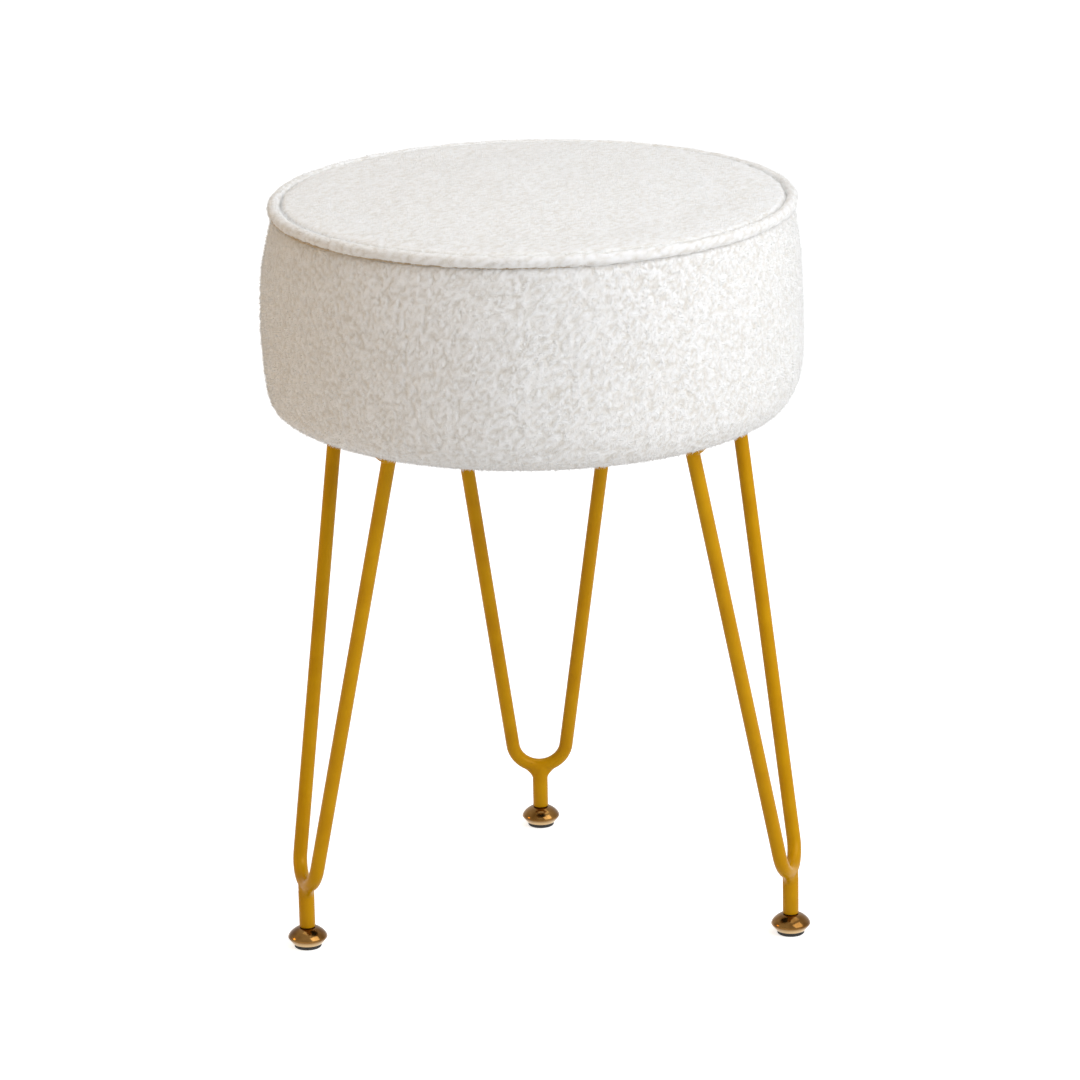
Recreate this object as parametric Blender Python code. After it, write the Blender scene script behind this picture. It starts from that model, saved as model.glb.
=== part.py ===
"""Round footstool: a fleece-covered drum cushion on three bent-rod legs with screw-in levelling feet.

The origin is on the floor under the centre of the seat, +Z is up, and the rear leg stands towards +Y.
Every leg is modelled once in its own frame: origin on the floor under the stem, +X outwards, +Z up.
"""
import math

import bmesh
import bpy
from mathutils import Vector

MM = 0.001
GAP = 0.3 * MM
MERGE_DISTANCE = 0.01 * MM

# Levelling foot
PAD_RADIUS = 7.7 * MM
PAD_HEIGHT = 3.0 * MM
PAD_CHAMFER = 0.5 * MM
PAD_SEAT_DEPTH = 0.9 * MM
CAP_RADIUS = 11.15 * MM
CAP_SKIRT_HEIGHT = 3.6 * MM
CAP_DOME_HEIGHT = 5.7 * MM
CAP_DOME_SLOPE = 1.1
CAP_DOME_ROUNDNESS = 0.72
CAP_SKIRT_BULGE = 1.2
CAP_LIP_WIDTH = 0.5 * MM
STUD_RADIUS = 2.9 * MM
STUD_LENGTH = 24.0 * MM
STUD_CHAMFER = 0.6 * MM

# Bent-rod leg
ROD_RADIUS = 4.0 * MM
BEND_RADIUS = 16.0 * MM
LEG_SPREAD = 93.8 * MM
LEG_LEAN = 41.5 * MM
LEG_RISE = 255.7 * MM
STEM_RADIUS = 4.5 * MM
STEM_HEIGHT = 21.3 * MM
WELD_FILLET = 4.0 * MM

# Where the legs stand: the rear leg on +Y, the front pair turned a little forward of the X axis
ROD_INSET = 7.5 * MM
FRONT_LEG_ANGLE = 18.5
LEG_AZIMUTHS = {"left": 180.0 + FRONT_LEG_ANGLE, "right": 360.0 - FRONT_LEG_ANGLE, "rear": 90.0}

# Mounting plate and its screws
PLATE_THICKNESS = 3.0 * MM
PLATE_MARGIN = 2.5 * MM
PLATE_DEPTH = 42.0 * MM
PLATE_TAB_DEPTH = 13.0 * MM
PLATE_INNER_WIDTH = 44.0 * MM
PLATE_CORNER_RADIUS = 5.0 * MM
SCREW_SPACING = 52.0 * MM
OUTER_SCREW_SETBACK = 20.6 * MM
INNER_SCREW_SETBACK = 9.0 * MM
SCREW_RADIUS = 2.9 * MM
SCREW_HEAD_RADIUS = 5.5 * MM
SCREW_HEAD_HEIGHT = 3.2 * MM
SOCKET_RADIUS = 2.0 * MM
SOCKET_DEPTH = 1.8 * MM
NUT_FLANGE_RADIUS = 9.0 * MM
NUT_FLANGE_THICKNESS = 1.1 * MM
NUT_WALL = 0.9 * MM
NUT_BARREL_LENGTH = 9.0 * MM

# Seat
DUST_COVER_INSET = 6.0 * MM
DUST_COVER_THICKNESS = 0.8 * MM
BOARD_INSET = 40.0 * MM
BOARD_THICKNESS = 12.0 * MM
BOARD_EDGE_BEVEL = 1.5 * MM
FABRIC_THICKNESS = 3.0 * MM
HEM_OVERLAP = 13.0 * MM
HEM_FLAT_MARGIN = 2.0 * MM
SEAT_RADIUS = 150.0 * MM
SEAM_DRAW_IN = 5.0 * MM
SIDE_HEIGHT = 115.6 * MM
BELLY_HEIGHT = 52.0 * MM
EDGE_WIDTH = 53.0 * MM
EDGE_POWER = 3.4
BELLY_POWER = 2.3
WELT_RADIUS = 4.0 * MM
WELT_OVERHANG = 1.5 * MM
CROWN_HEIGHT = 6.8 * MM
CROWN_POWER = 2.2
PANEL_EDGE_RISE = 1.2 * MM

# Facets of the round pieces
SEAT_STEPS = 48
WELT_STEPS = 64
CAP_STEPS = 32
FOOT_STEPS = 24
STUD_STEPS = 16
SCREW_STEPS = 18
ROD_SIDES = 12
BEND_STEPS = 10
WELT_SIDES = 10
CORNER_STEPS = 4

# Heights above the floor, stacked from the pad to the seat
CAP_BOTTOM_Z = PAD_HEIGHT + GAP - PAD_SEAT_DEPTH
CAP_RIM_Z = CAP_BOTTOM_Z + CAP_SKIRT_HEIGHT
CAP_TOP_Z = CAP_RIM_Z + CAP_DOME_HEIGHT
STEM_BOTTOM_Z = CAP_TOP_Z + GAP
BEND_Z = STEM_BOTTOM_Z + STEM_HEIGHT + GAP + ROD_RADIUS
ROD_END_Z = BEND_Z + LEG_RISE
PLATE_BOTTOM_Z = ROD_END_Z + GAP
DUST_COVER_BOTTOM_Z = PLATE_BOTTOM_Z + PLATE_THICKNESS + GAP
UNDERSIDE_Z = DUST_COVER_BOTTOM_Z + DUST_COVER_THICKNESS + GAP
BOARD_BOTTOM_Z = UNDERSIDE_Z + FABRIC_THICKNESS + GAP
BOARD_TOP_Z = BOARD_BOTTOM_Z + BOARD_THICKNESS
BELLY_Z = UNDERSIDE_Z + BELLY_HEIGHT
BAND_TOP_Z = UNDERSIDE_Z + SIDE_HEIGHT
WELT_Z = BAND_TOP_Z + GAP + WELT_RADIUS

# Radii and clearances that follow from the sizes above
BOARD_RADIUS = SEAT_RADIUS - BOARD_INSET
DUST_COVER_RADIUS = BOARD_RADIUS - DUST_COVER_INSET
HEM_RADIUS = BOARD_RADIUS - HEM_OVERLAP
SEAM_RADIUS = SEAT_RADIUS - SEAM_DRAW_IN
FOOT_RADIUS = BOARD_RADIUS - ROD_INSET + LEG_LEAN
WELT_RING_RADIUS = SEAM_RADIUS + WELT_OVERHANG - WELT_RADIUS
PANEL_RADIUS = WELT_RING_RADIUS - WELT_RADIUS - GAP
STUD_HOLE_RADIUS = STUD_RADIUS + GAP
SCREW_HOLE_RADIUS = SCREW_RADIUS + GAP
NUT_BARREL_RADIUS = SCREW_HOLE_RADIUS + NUT_WALL
NUT_SEAT_DEPTH = NUT_FLANGE_THICKNESS + 2 * GAP
LEAN_ANGLE = math.atan2(LEG_LEAN, LEG_RISE)
ROD_TOP_X = -LEG_LEAN
PLATE_OUTER_X = ROD_TOP_X + ROD_RADIUS + PLATE_MARGIN
PLATE_INNER_X = PLATE_OUTER_X - PLATE_DEPTH
SCREW_PLACES = (
    (PLATE_OUTER_X - OUTER_SCREW_SETBACK, -SCREW_SPACING / 2),
    (PLATE_OUTER_X - OUTER_SCREW_SETBACK, SCREW_SPACING / 2),
    (PLATE_INNER_X + INNER_SCREW_SETBACK, 0.0),
)

# Finishes: colour, roughness, metallic
FLEECE = ((0.80, 0.78, 0.74), 0.95, 0.0)
FOAM = ((0.86, 0.80, 0.56), 0.9, 0.0)
PLYWOOD = ((0.62, 0.45, 0.27), 0.7, 0.0)
NON_WOVEN = ((0.03, 0.03, 0.03), 0.9, 0.0)
GOLD_PAINT = ((0.58, 0.33, 0.03), 0.35, 0.4)
ZINC = ((0.55, 0.56, 0.57), 0.35, 1.0)
BRASS = ((0.55, 0.40, 0.18), 0.18, 1.0)
RUBBER = ((0.02, 0.02, 0.02), 0.8, 0.0)


def clear_scene():
    """Remove every object, so that the script can be run again in the same file."""
    for obj in list(bpy.data.objects):
        bpy.data.objects.remove(obj, do_unlink=True)


def finish_material(name, finish):
    """A Principled material with one colour, roughness and metallic value."""
    colour, roughness, metallic = finish
    material = bpy.data.materials.new(name)
    material.use_nodes = True
    shader = material.node_tree.nodes["Principled BSDF"]
    shader.inputs["Base Color"].default_value = (*colour, 1.0)
    shader.inputs["Roughness"].default_value = roughness
    shader.inputs["Metallic"].default_value = metallic
    return material


def mesh_from(bm, name, smooth_angle=35.0):
    """Close a bmesh into a mesh with outward faces, shaded smooth up to the given angle."""
    bmesh.ops.remove_doubles(bm, verts=bm.verts, dist=MERGE_DISTANCE)
    bmesh.ops.recalc_face_normals(bm, faces=bm.faces)
    mesh = bpy.data.meshes.new(name)
    bm.to_mesh(mesh)
    bm.free()
    mesh.shade_smooth()
    mesh.set_sharp_from_angle(angle=math.radians(smooth_angle))
    return mesh


def add_piece(name, mesh, finish, parent=None, location=(0.0, 0.0, 0.0)):
    """Place a mesh as a named piece with its own material, under a leg's frame if one is given."""
    obj = bpy.data.objects.new(name, mesh)
    bpy.context.scene.collection.objects.link(obj)
    obj.parent = parent
    obj.location = location
    if not mesh.materials:
        mesh.materials.append(None)
    obj.material_slots[0].link = "OBJECT"
    obj.material_slots[0].material = finish_material(name, finish)
    return obj


def add_cutter(name, mesh):
    """Place a mesh that only cuts others: drawn as wire and left out of renders."""
    cutter = bpy.data.objects.new(name, mesh)
    bpy.context.scene.collection.objects.link(cutter)
    cutter.hide_render = True
    cutter.display_type = "WIRE"
    return cutter


def cut(obj, cutter):
    """Take the cutter's shape out of a piece."""
    modifier = obj.modifiers.new("cut_" + cutter.name, "BOOLEAN")
    modifier.operation = "DIFFERENCE"
    modifier.solver = "EXACT"
    modifier.object = cutter


def turned(profile, steps, closed=True):
    """Spin a profile of (radius, height) points about Z. An open profile starts and ends on the axis."""
    bm = bmesh.new()
    verts = [bm.verts.new((radius, 0.0, height)) for radius, height in profile]
    pairs = list(zip(verts, verts[1:]))
    if closed:
        pairs.append((verts[-1], verts[0]))
    edges = [bm.edges.new(pair) for pair in pairs]
    bmesh.ops.spin(bm, geom=verts + edges, cent=(0, 0, 0), axis=(0, 0, 1), angle=2 * math.pi, steps=steps)
    return bm


def lofted(rings, capped=True):
    """Skin a list of vertex rings with the same number of points, and close its two ends."""
    bm = bmesh.new()
    loops = [[bm.verts.new(point) for point in ring] for ring in rings]
    count = len(loops[0])
    for lower, upper in zip(loops, loops[1:]):
        for i in range(count):
            j = (i + 1) % count
            bm.faces.new((lower[i], lower[j], upper[j], upper[i]))
    if capped:
        bm.faces.new(loops[0])
        bm.faces.new(loops[-1])
    return bm


def offset_profile(points, distance):
    """Move each point of a profile sideways, to the left of its direction of travel."""
    moved = []
    for i, point in enumerate(points):
        before = Vector(points[max(i - 1, 0)])
        after = Vector(points[min(i + 1, len(points) - 1)])
        along = (after - before).normalized()
        moved.append((point[0] - along.y * distance, point[1] + along.x * distance))
    return moved


def arc_points(centre, radius, start, end, steps):
    """Points on an arc, with angles in degrees."""
    angles = [math.radians(start + (end - start) * i / steps) for i in range(steps + 1)]
    return [(centre[0] + radius * math.cos(a), centre[1] + radius * math.sin(a)) for a in angles]


def foot_pad_mesh():
    """Rubber pad: a short disc with a chamfered lower edge."""
    profile = [
        (0.0, PAD_HEIGHT),
        (PAD_RADIUS, PAD_HEIGHT),
        (PAD_RADIUS, PAD_CHAMFER),
        (PAD_RADIUS - PAD_CHAMFER, 0.0),
        (0.0, 0.0),
    ]
    return mesh_from(turned(profile, FOOT_STEPS, closed=False), "foot_pad")


def foot_cap_mesh():
    """Domed metal cap: a low cone above its rim, a tucked-in skirt below, a hole for the stud."""
    seat_z = PAD_HEIGHT + GAP
    seat_radius = PAD_RADIUS + GAP
    lip_radius = seat_radius + CAP_LIP_WIDTH
    top_radius = STEM_RADIUS + GAP
    dome = []
    for share in (0.0, 0.3, 0.55, 0.75, 0.9, 0.97, 1.0):
        lift = (1.0 - share ** CAP_DOME_SLOPE) ** CAP_DOME_ROUNDNESS
        dome.append((top_radius + (CAP_RADIUS - top_radius) * share, CAP_RIM_Z + CAP_DOME_HEIGHT * lift))
    skirt = []
    for down in (0.12, 0.35, 0.7):
        out = 1.0 - down ** CAP_SKIRT_BULGE
        skirt.append((lip_radius + (CAP_RADIUS - lip_radius) * out, CAP_RIM_Z - CAP_SKIRT_HEIGHT * down))
    inside = [
        (lip_radius, CAP_BOTTOM_Z),
        (seat_radius, CAP_BOTTOM_Z),
        (seat_radius, seat_z),
        (STUD_HOLE_RADIUS, seat_z),
        (STUD_HOLE_RADIUS, CAP_TOP_Z),
    ]
    return mesh_from(turned(dome + skirt + inside, CAP_STEPS), "foot_cap")


def foot_stud_mesh():
    """Threaded stud of the foot, standing on the pad and running up into the stem."""
    bottom = PAD_HEIGHT + GAP
    top = bottom + STUD_LENGTH
    profile = [
        (0.0, top),
        (STUD_RADIUS - STUD_CHAMFER, top),
        (STUD_RADIUS, top - STUD_CHAMFER),
        (STUD_RADIUS, bottom),
        (0.0, bottom),
    ]
    return mesh_from(turned(profile, STUD_STEPS, closed=False), "foot_stud")


def rod_path():
    """Centre line of the bent rod in the leg's frame, from one top end round the bend to the other."""
    slant = math.hypot(LEG_LEAN, LEG_RISE)
    half_spread = LEG_SPREAD / 2
    reach = math.hypot(half_spread, slant - BEND_RADIUS)
    opening = math.atan2(half_spread, slant - BEND_RADIUS) - math.asin(BEND_RADIUS / reach)
    opening = math.degrees(opening)
    bend = arc_points((0.0, BEND_RADIUS), BEND_RADIUS, -opening, opening - 180.0, BEND_STEPS)
    flat = [(half_spread, slant), *bend, (-half_spread, slant)]
    lean = Vector((-math.sin(LEAN_ANGLE), 0.0, math.cos(LEAN_ANGLE)))
    return [Vector((0.0, across, BEND_Z)) + lean * along for across, along in flat]


def rod_rings(radius, overrun=0.0):
    """Rings of points round the rod's centre line, with both end rings level, as if cut for the plate."""
    path = rod_path()
    normal = Vector((math.cos(LEAN_ANGLE), 0.0, math.sin(LEAN_ANGLE)))
    rings = []
    for i, point in enumerate(path):
        into = (point - path[max(i - 1, 0)]).normalized()
        out = (path[min(i + 1, len(path) - 1)] - point).normalized()
        along = (into + out).normalized()
        side = along.cross(normal).normalized()
        mitre = radius / max(0.5, side.dot(out.cross(normal) if out.length else side))
        ring = []
        for k in range(ROD_SIDES):
            turn = 2 * math.pi * k / ROD_SIDES
            ring.append(point + side * mitre * math.cos(turn) + normal * radius * math.sin(turn))
        if i in (0, len(path) - 1):
            ring = [p + along * ((ROD_END_Z + overrun - p.z) / along.z) for p in ring]
        rings.append(ring)
    return rings


def leg_rod_mesh():
    """One round rod bent into a narrow V."""
    return mesh_from(lofted(rod_rings(ROD_RADIUS)), "leg_rod", smooth_angle=40.0)


def stem_outline_mesh():
    """Tube stem with a weld fillet that spreads along the rod, and a blind bore for the stud."""
    saddle_z = STEM_BOTTOM_Z + STEM_HEIGHT
    sections = (
        (STEM_BOTTOM_Z, 0.0, 1.0),
        (saddle_z - WELD_FILLET, 0.0, 1.0),
        (saddle_z - 0.4 * WELD_FILLET, 0.25, 0.98),
        (saddle_z + 0.1 * WELD_FILLET, 0.6, 0.92),
        (saddle_z + 0.45 * WELD_FILLET, 0.95, 0.78),
        (saddle_z + 0.8 * WELD_FILLET, 1.3, 0.6),
    )
    bore_top = PAD_HEIGHT + GAP + STUD_LENGTH + GAP
    rings = [stem_ring(STUD_HOLE_RADIUS, 0.0, 1.0, bore_top), stem_ring(STUD_HOLE_RADIUS, 0.0, 1.0, STEM_BOTTOM_Z)]
    rings += [stem_ring(STEM_RADIUS, spread * WELD_FILLET, depth, z) for z, spread, depth in sections]
    return mesh_from(lofted(rings), "leg_stem", smooth_angle=40.0)


def stem_ring(radius, spread, depth, height):
    """An oval ring: widened along the rod by spread, narrowed across it by depth."""
    ring = []
    for k in range(FOOT_STEPS):
        turn = 2 * math.pi * k / FOOT_STEPS
        ring.append((radius * depth * math.cos(turn), (radius + spread) * math.sin(turn), height))
    return ring


def plate_outline():
    """Corner-rounded outline of the mounting plate, wide over the rod ends and narrow inside."""
    half_outer = LEG_SPREAD / 2 + ROD_RADIUS + PLATE_MARGIN
    half_inner = PLATE_INNER_WIDTH / 2
    corners = [
        (PLATE_OUTER_X, -half_outer),
        (PLATE_OUTER_X, half_outer),
        (PLATE_OUTER_X - PLATE_TAB_DEPTH, half_outer),
        (PLATE_INNER_X, half_inner),
        (PLATE_INNER_X, -half_inner),
        (PLATE_OUTER_X - PLATE_TAB_DEPTH, -half_outer),
    ]
    outline = []
    for i, corner in enumerate(corners):
        here = Vector(corner)
        back = (Vector(corners[i - 1]) - here).normalized()
        ahead = (Vector(corners[(i + 1) % len(corners)]) - here).normalized()
        half = back.angle(ahead) / 2
        reach = PLATE_CORNER_RADIUS / math.tan(half)
        centre = here + (back + ahead).normalized() * (PLATE_CORNER_RADIUS / math.sin(half))
        first = (here + back * reach - centre).normalized()
        last = (here + ahead * reach - centre).normalized()
        for k in range(CORNER_STEPS + 1):
            blend = first.slerp(last, k / CORNER_STEPS)
            outline.append(centre + blend * PLATE_CORNER_RADIUS)
    return outline


def plate_mesh():
    """Flat steel plate that the two rod ends are welded to."""
    outline = plate_outline()
    bm = bmesh.new()
    face = bm.faces.new([bm.verts.new((p.x, p.y, PLATE_BOTTOM_Z)) for p in outline])
    grown = bmesh.ops.extrude_face_region(bm, geom=[face])
    top = [v for v in grown["geom"] if isinstance(v, bmesh.types.BMVert)]
    bmesh.ops.translate(bm, verts=top, vec=(0.0, 0.0, PLATE_THICKNESS))
    return mesh_from(bm, "mounting_plate")


def screw_ring(radius, height, hexagonal=False):
    """A ring of a screw: round, or a hexagon with the given width across its flats halved."""
    ring = []
    for k in range(SCREW_STEPS):
        turn = 2 * math.pi * k / SCREW_STEPS
        reach = radius
        if hexagonal:
            reach = radius / math.cos((turn + math.pi / 6) % (math.pi / 3) - math.pi / 6)
        ring.append((reach * math.cos(turn), reach * math.sin(turn), height))
    return ring


def screw_mesh():
    """Button-head machine screw with a hexagon socket, its head under the plate."""
    head_top = PLATE_BOTTOM_Z - GAP
    head_bottom = head_top - SCREW_HEAD_HEIGHT
    shank_top = BOARD_TOP_Z - NUT_SEAT_DEPTH
    rings = [
        screw_ring(SOCKET_RADIUS, head_bottom + SOCKET_DEPTH, hexagonal=True),
        screw_ring(SOCKET_RADIUS, head_bottom, hexagonal=True),
        screw_ring(SCREW_HEAD_RADIUS * 0.72, head_bottom),
        screw_ring(SCREW_HEAD_RADIUS * 0.93, head_bottom + SCREW_HEAD_HEIGHT * 0.4),
        screw_ring(SCREW_HEAD_RADIUS, head_top),
        screw_ring(SCREW_RADIUS, head_top),
        screw_ring(SCREW_RADIUS, shank_top),
    ]
    return mesh_from(lofted(rings), "plate_screw")


def tee_nut_mesh():
    """Tee nut: a thin flange let into the top of the board and a barrel that the screw runs into."""
    flange_bottom = BOARD_TOP_Z - NUT_SEAT_DEPTH + GAP
    flange_top = flange_bottom + NUT_FLANGE_THICKNESS
    barrel_bottom = flange_bottom - NUT_BARREL_LENGTH
    profile = [
        (SCREW_HOLE_RADIUS, flange_top),
        (NUT_FLANGE_RADIUS, flange_top),
        (NUT_FLANGE_RADIUS, flange_bottom),
        (NUT_BARREL_RADIUS, flange_bottom),
        (NUT_BARREL_RADIUS, barrel_bottom),
        (SCREW_HOLE_RADIUS, barrel_bottom),
    ]
    return mesh_from(turned(profile, STUD_STEPS), "tee_nut")


def band_profile():
    """Outer line of the seat's side, from the seam under the welt down and round to the hem."""
    rise = BAND_TOP_Z - BELLY_Z
    upper = []
    for i in range(5):
        share = 1.0 - i / 5
        upper.append((SEAT_RADIUS - (SEAT_RADIUS - SEAM_RADIUS) * share ** BELLY_POWER, BELLY_Z + rise * share))
    lower = []
    for turn in (0.0, 22.0, 40.0, 55.0, 68.0, 80.0):
        drop = math.sin(math.radians(turn))
        out = (1.0 - drop ** EDGE_POWER) ** (1.0 / EDGE_POWER)
        lower.append((SEAT_RADIUS - EDGE_WIDTH * (1.0 - out), BELLY_Z - BELLY_HEIGHT * drop))
    flat = [(BOARD_RADIUS + HEM_FLAT_MARGIN, UNDERSIDE_Z), (HEM_RADIUS, UNDERSIDE_Z)]
    return upper + lower + flat


def band_inner_profile(inset):
    """The side's line moved inwards, level at the hem."""
    inner = offset_profile(band_profile(), -inset)
    inner[0] = (inner[0][0], BAND_TOP_Z)
    inner[-1] = (HEM_RADIUS, UNDERSIDE_Z + inset)
    return inner


def side_band_mesh():
    """Fabric side of the seat, barrelled, drawn in at the seam and turned under the board as a hem."""
    outer = band_profile()
    inner = band_inner_profile(FABRIC_THICKNESS)
    return mesh_from(turned(outer + inner[::-1], SEAT_STEPS), "seat_side_band", smooth_angle=50.0)


def welt_mesh():
    """Fabric-covered welt cord, a ring between the side and the top panel."""
    ring = arc_points((WELT_RING_RADIUS, WELT_Z), WELT_RADIUS, 90.0, -270.0, WELT_SIDES)[:-1]
    return mesh_from(turned(ring, WELT_STEPS), "seat_welt", smooth_angle=60.0)


def crown_line(radius, drop):
    """Crowned line across the seat's top from the centre outwards, lowered by drop."""
    edge_z = WELT_Z + PANEL_EDGE_RISE
    line = []
    for share in (0.0, 0.3, 0.55, 0.75, 0.9, 1.0):
        lift = CROWN_HEIGHT * (1.0 - share ** CROWN_POWER)
        line.append((radius * share, edge_z + lift - drop))
    return line


def top_panel_mesh():
    """Crowned fabric top of the seat."""
    above = crown_line(PANEL_RADIUS, 0.0)
    below = crown_line(PANEL_RADIUS, FABRIC_THICKNESS)
    return mesh_from(turned(above + below[::-1], SEAT_STEPS, closed=False), "seat_top_panel", smooth_angle=50.0)


def foam_mesh():
    """Foam block that fills the cover: crowned on top, drawn down round the edge of the board."""
    inner = band_inner_profile(FABRIC_THICKNESS + GAP)
    foam_top_z = BAND_TOP_Z - FABRIC_THICKNESS
    lip_radius = BOARD_RADIUS + GAP
    side = [(radius, height) for radius, height in inner[1:-1] if radius > lip_radius]
    top = crown_line(PANEL_RADIUS, FABRIC_THICKNESS + GAP)
    shoulder = [(inner[0][0], foam_top_z)]
    under = [(lip_radius, side[-1][1]), (lip_radius, BOARD_TOP_Z + GAP), (0.0, BOARD_TOP_Z + GAP)]
    return mesh_from(turned(top + shoulder + side + under, SEAT_STEPS, closed=False), "seat_foam")


def disc_mesh(name, radius, bottom, thickness, bevel):
    """A flat disc with its edge corners taken off."""
    top = bottom + thickness
    profile = [
        (0.0, top),
        (radius - bevel, top),
        (radius, top - bevel),
        (radius, bottom + bevel),
        (radius - bevel, bottom),
        (0.0, bottom),
    ]
    return mesh_from(turned(profile, SEAT_STEPS, closed=False), name)


def holes_mesh(name, profile, places):
    """Several turned cutters side by side, one at each (x, y) place."""
    bm = bmesh.new()
    for x, y in places:
        one = turned(profile, STUD_STEPS, closed=False)
        bmesh.ops.translate(one, verts=one.verts, vec=(x, y, 0.0))
        part = bpy.data.meshes.new(name + "_one")
        one.to_mesh(part)
        one.free()
        bm.from_mesh(part)
        bpy.data.meshes.remove(part)
    return mesh_from(bm, name)


def leg_origin(azimuth):
    """Where a leg's frame stands on the floor, and how far it is turned about Z."""
    turn = math.radians(azimuth)
    return Vector((FOOT_RADIUS * math.cos(turn), FOOT_RADIUS * math.sin(turn), 0.0)), turn


def screw_places_under_seat():
    """The (x, y) places of all the legs' screws under the seat."""
    places = []
    for azimuth in LEG_AZIMUTHS.values():
        origin, turn = leg_origin(azimuth)
        for x, y in SCREW_PLACES:
            across = (x * math.cos(turn) - y * math.sin(turn), x * math.sin(turn) + y * math.cos(turn))
            places.append((origin.x + across[0], origin.y + across[1]))
    return places


def build_seat():
    """The cushion, its board and the dust cover, with holes for the legs' screws and tee nuts."""
    add_piece("seat_top_panel", top_panel_mesh(), FLEECE)
    add_piece("seat_welt", welt_mesh(), FLEECE)
    add_piece("seat_side_band", side_band_mesh(), FLEECE)
    add_piece("seat_foam", foam_mesh(), FOAM)
    places = screw_places_under_seat()
    board = add_piece(
        "base_board",
        disc_mesh("base_board", BOARD_RADIUS, BOARD_BOTTOM_Z, BOARD_THICKNESS, BOARD_EDGE_BEVEL),
        PLYWOOD,
    )
    flange_hole = NUT_FLANGE_RADIUS + GAP
    barrel_hole = NUT_BARREL_RADIUS + GAP
    step_z = BOARD_TOP_Z - NUT_SEAT_DEPTH
    nut_hole = [
        (0.0, BOARD_TOP_Z + BOARD_THICKNESS),
        (flange_hole, BOARD_TOP_Z + BOARD_THICKNESS),
        (flange_hole, step_z),
        (barrel_hole, step_z),
        (barrel_hole, BOARD_BOTTOM_Z - BOARD_THICKNESS),
        (0.0, BOARD_BOTTOM_Z - BOARD_THICKNESS),
    ]
    cut(board, add_cutter("tee_nut_holes", holes_mesh("tee_nut_holes", nut_hole, places)))
    dust_cover = add_piece(
        "dust_cover",
        disc_mesh("dust_cover", DUST_COVER_RADIUS, DUST_COVER_BOTTOM_Z, DUST_COVER_THICKNESS, 0.25 * DUST_COVER_THICKNESS),
        NON_WOVEN,
    )
    screw_hole = [
        (0.0, UNDERSIDE_Z),
        (SCREW_HOLE_RADIUS, UNDERSIDE_Z),
        (SCREW_HOLE_RADIUS, PLATE_BOTTOM_Z),
        (0.0, PLATE_BOTTOM_Z),
    ]
    cut(dust_cover, add_cutter("dust_cover_holes", holes_mesh("dust_cover_holes", screw_hole, places)))


def leg_cutters():
    """The shapes that a leg's own pieces are cut with: the rod's groove in the stem, the plate's holes."""
    groove = mesh_from(lofted(rod_rings(ROD_RADIUS + GAP, overrun=PLATE_THICKNESS)), "rod_groove")
    profile = [
        (0.0, PLATE_BOTTOM_Z + 2 * PLATE_THICKNESS),
        (SCREW_HOLE_RADIUS, PLATE_BOTTOM_Z + 2 * PLATE_THICKNESS),
        (SCREW_HOLE_RADIUS, PLATE_BOTTOM_Z - PLATE_THICKNESS),
        (0.0, PLATE_BOTTOM_Z - PLATE_THICKNESS),
    ]
    return groove, holes_mesh("plate_holes", profile, SCREW_PLACES)


def build_legs():
    """Three equal legs, each under an empty that stands on the floor at its foot."""
    groove, plate_holes = leg_cutters()
    rod, stem, plate = leg_rod_mesh(), stem_outline_mesh(), plate_mesh()
    screw, nut = screw_mesh(), tee_nut_mesh()
    pad, cap, stud = foot_pad_mesh(), foot_cap_mesh(), foot_stud_mesh()
    for side, azimuth in LEG_AZIMUTHS.items():
        origin, turn = leg_origin(azimuth)
        frame = bpy.data.objects.new(side + "_leg_frame", None)
        bpy.context.scene.collection.objects.link(frame)
        frame.location = origin
        frame.rotation_euler = (0.0, 0.0, turn)
        add_piece(side + "_leg_rod", rod, GOLD_PAINT, frame)
        stem_piece = add_piece(side + "_leg_stem", stem, GOLD_PAINT, frame)
        plate_piece = add_piece(side + "_mounting_plate", plate, GOLD_PAINT, frame)
        for piece, mesh in ((stem_piece, groove), (plate_piece, plate_holes)):
            cutter = add_cutter(piece.name + "_cutter", mesh)
            cutter.parent = frame
            cut(piece, cutter)
        for number, (x, y) in enumerate(SCREW_PLACES, start=1):
            add_piece(f"{side}_plate_screw_{number}", screw, ZINC, frame, (x, y, 0.0))
            add_piece(f"{side}_tee_nut_{number}", nut, ZINC, frame, (x, y, 0.0))
        add_piece(side + "_foot_stud", stud, ZINC, frame)
        add_piece(side + "_foot_cap", cap, BRASS, frame)
        add_piece(side + "_foot_pad", pad, RUBBER, frame)


def main():
    """Build the whole footstool."""
    clear_scene()
    build_seat()
    build_legs()


if __name__ == "__main__":
    main()
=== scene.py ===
"""Looks of a round fleece footstool on three bent-rod legs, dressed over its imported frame."""

import logging
import math
from dataclasses import dataclass
from enum import Enum
from typing import Sequence

import bmesh
import bpy
import numpy as np
from mathutils import Matrix, Vector, noise


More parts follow.
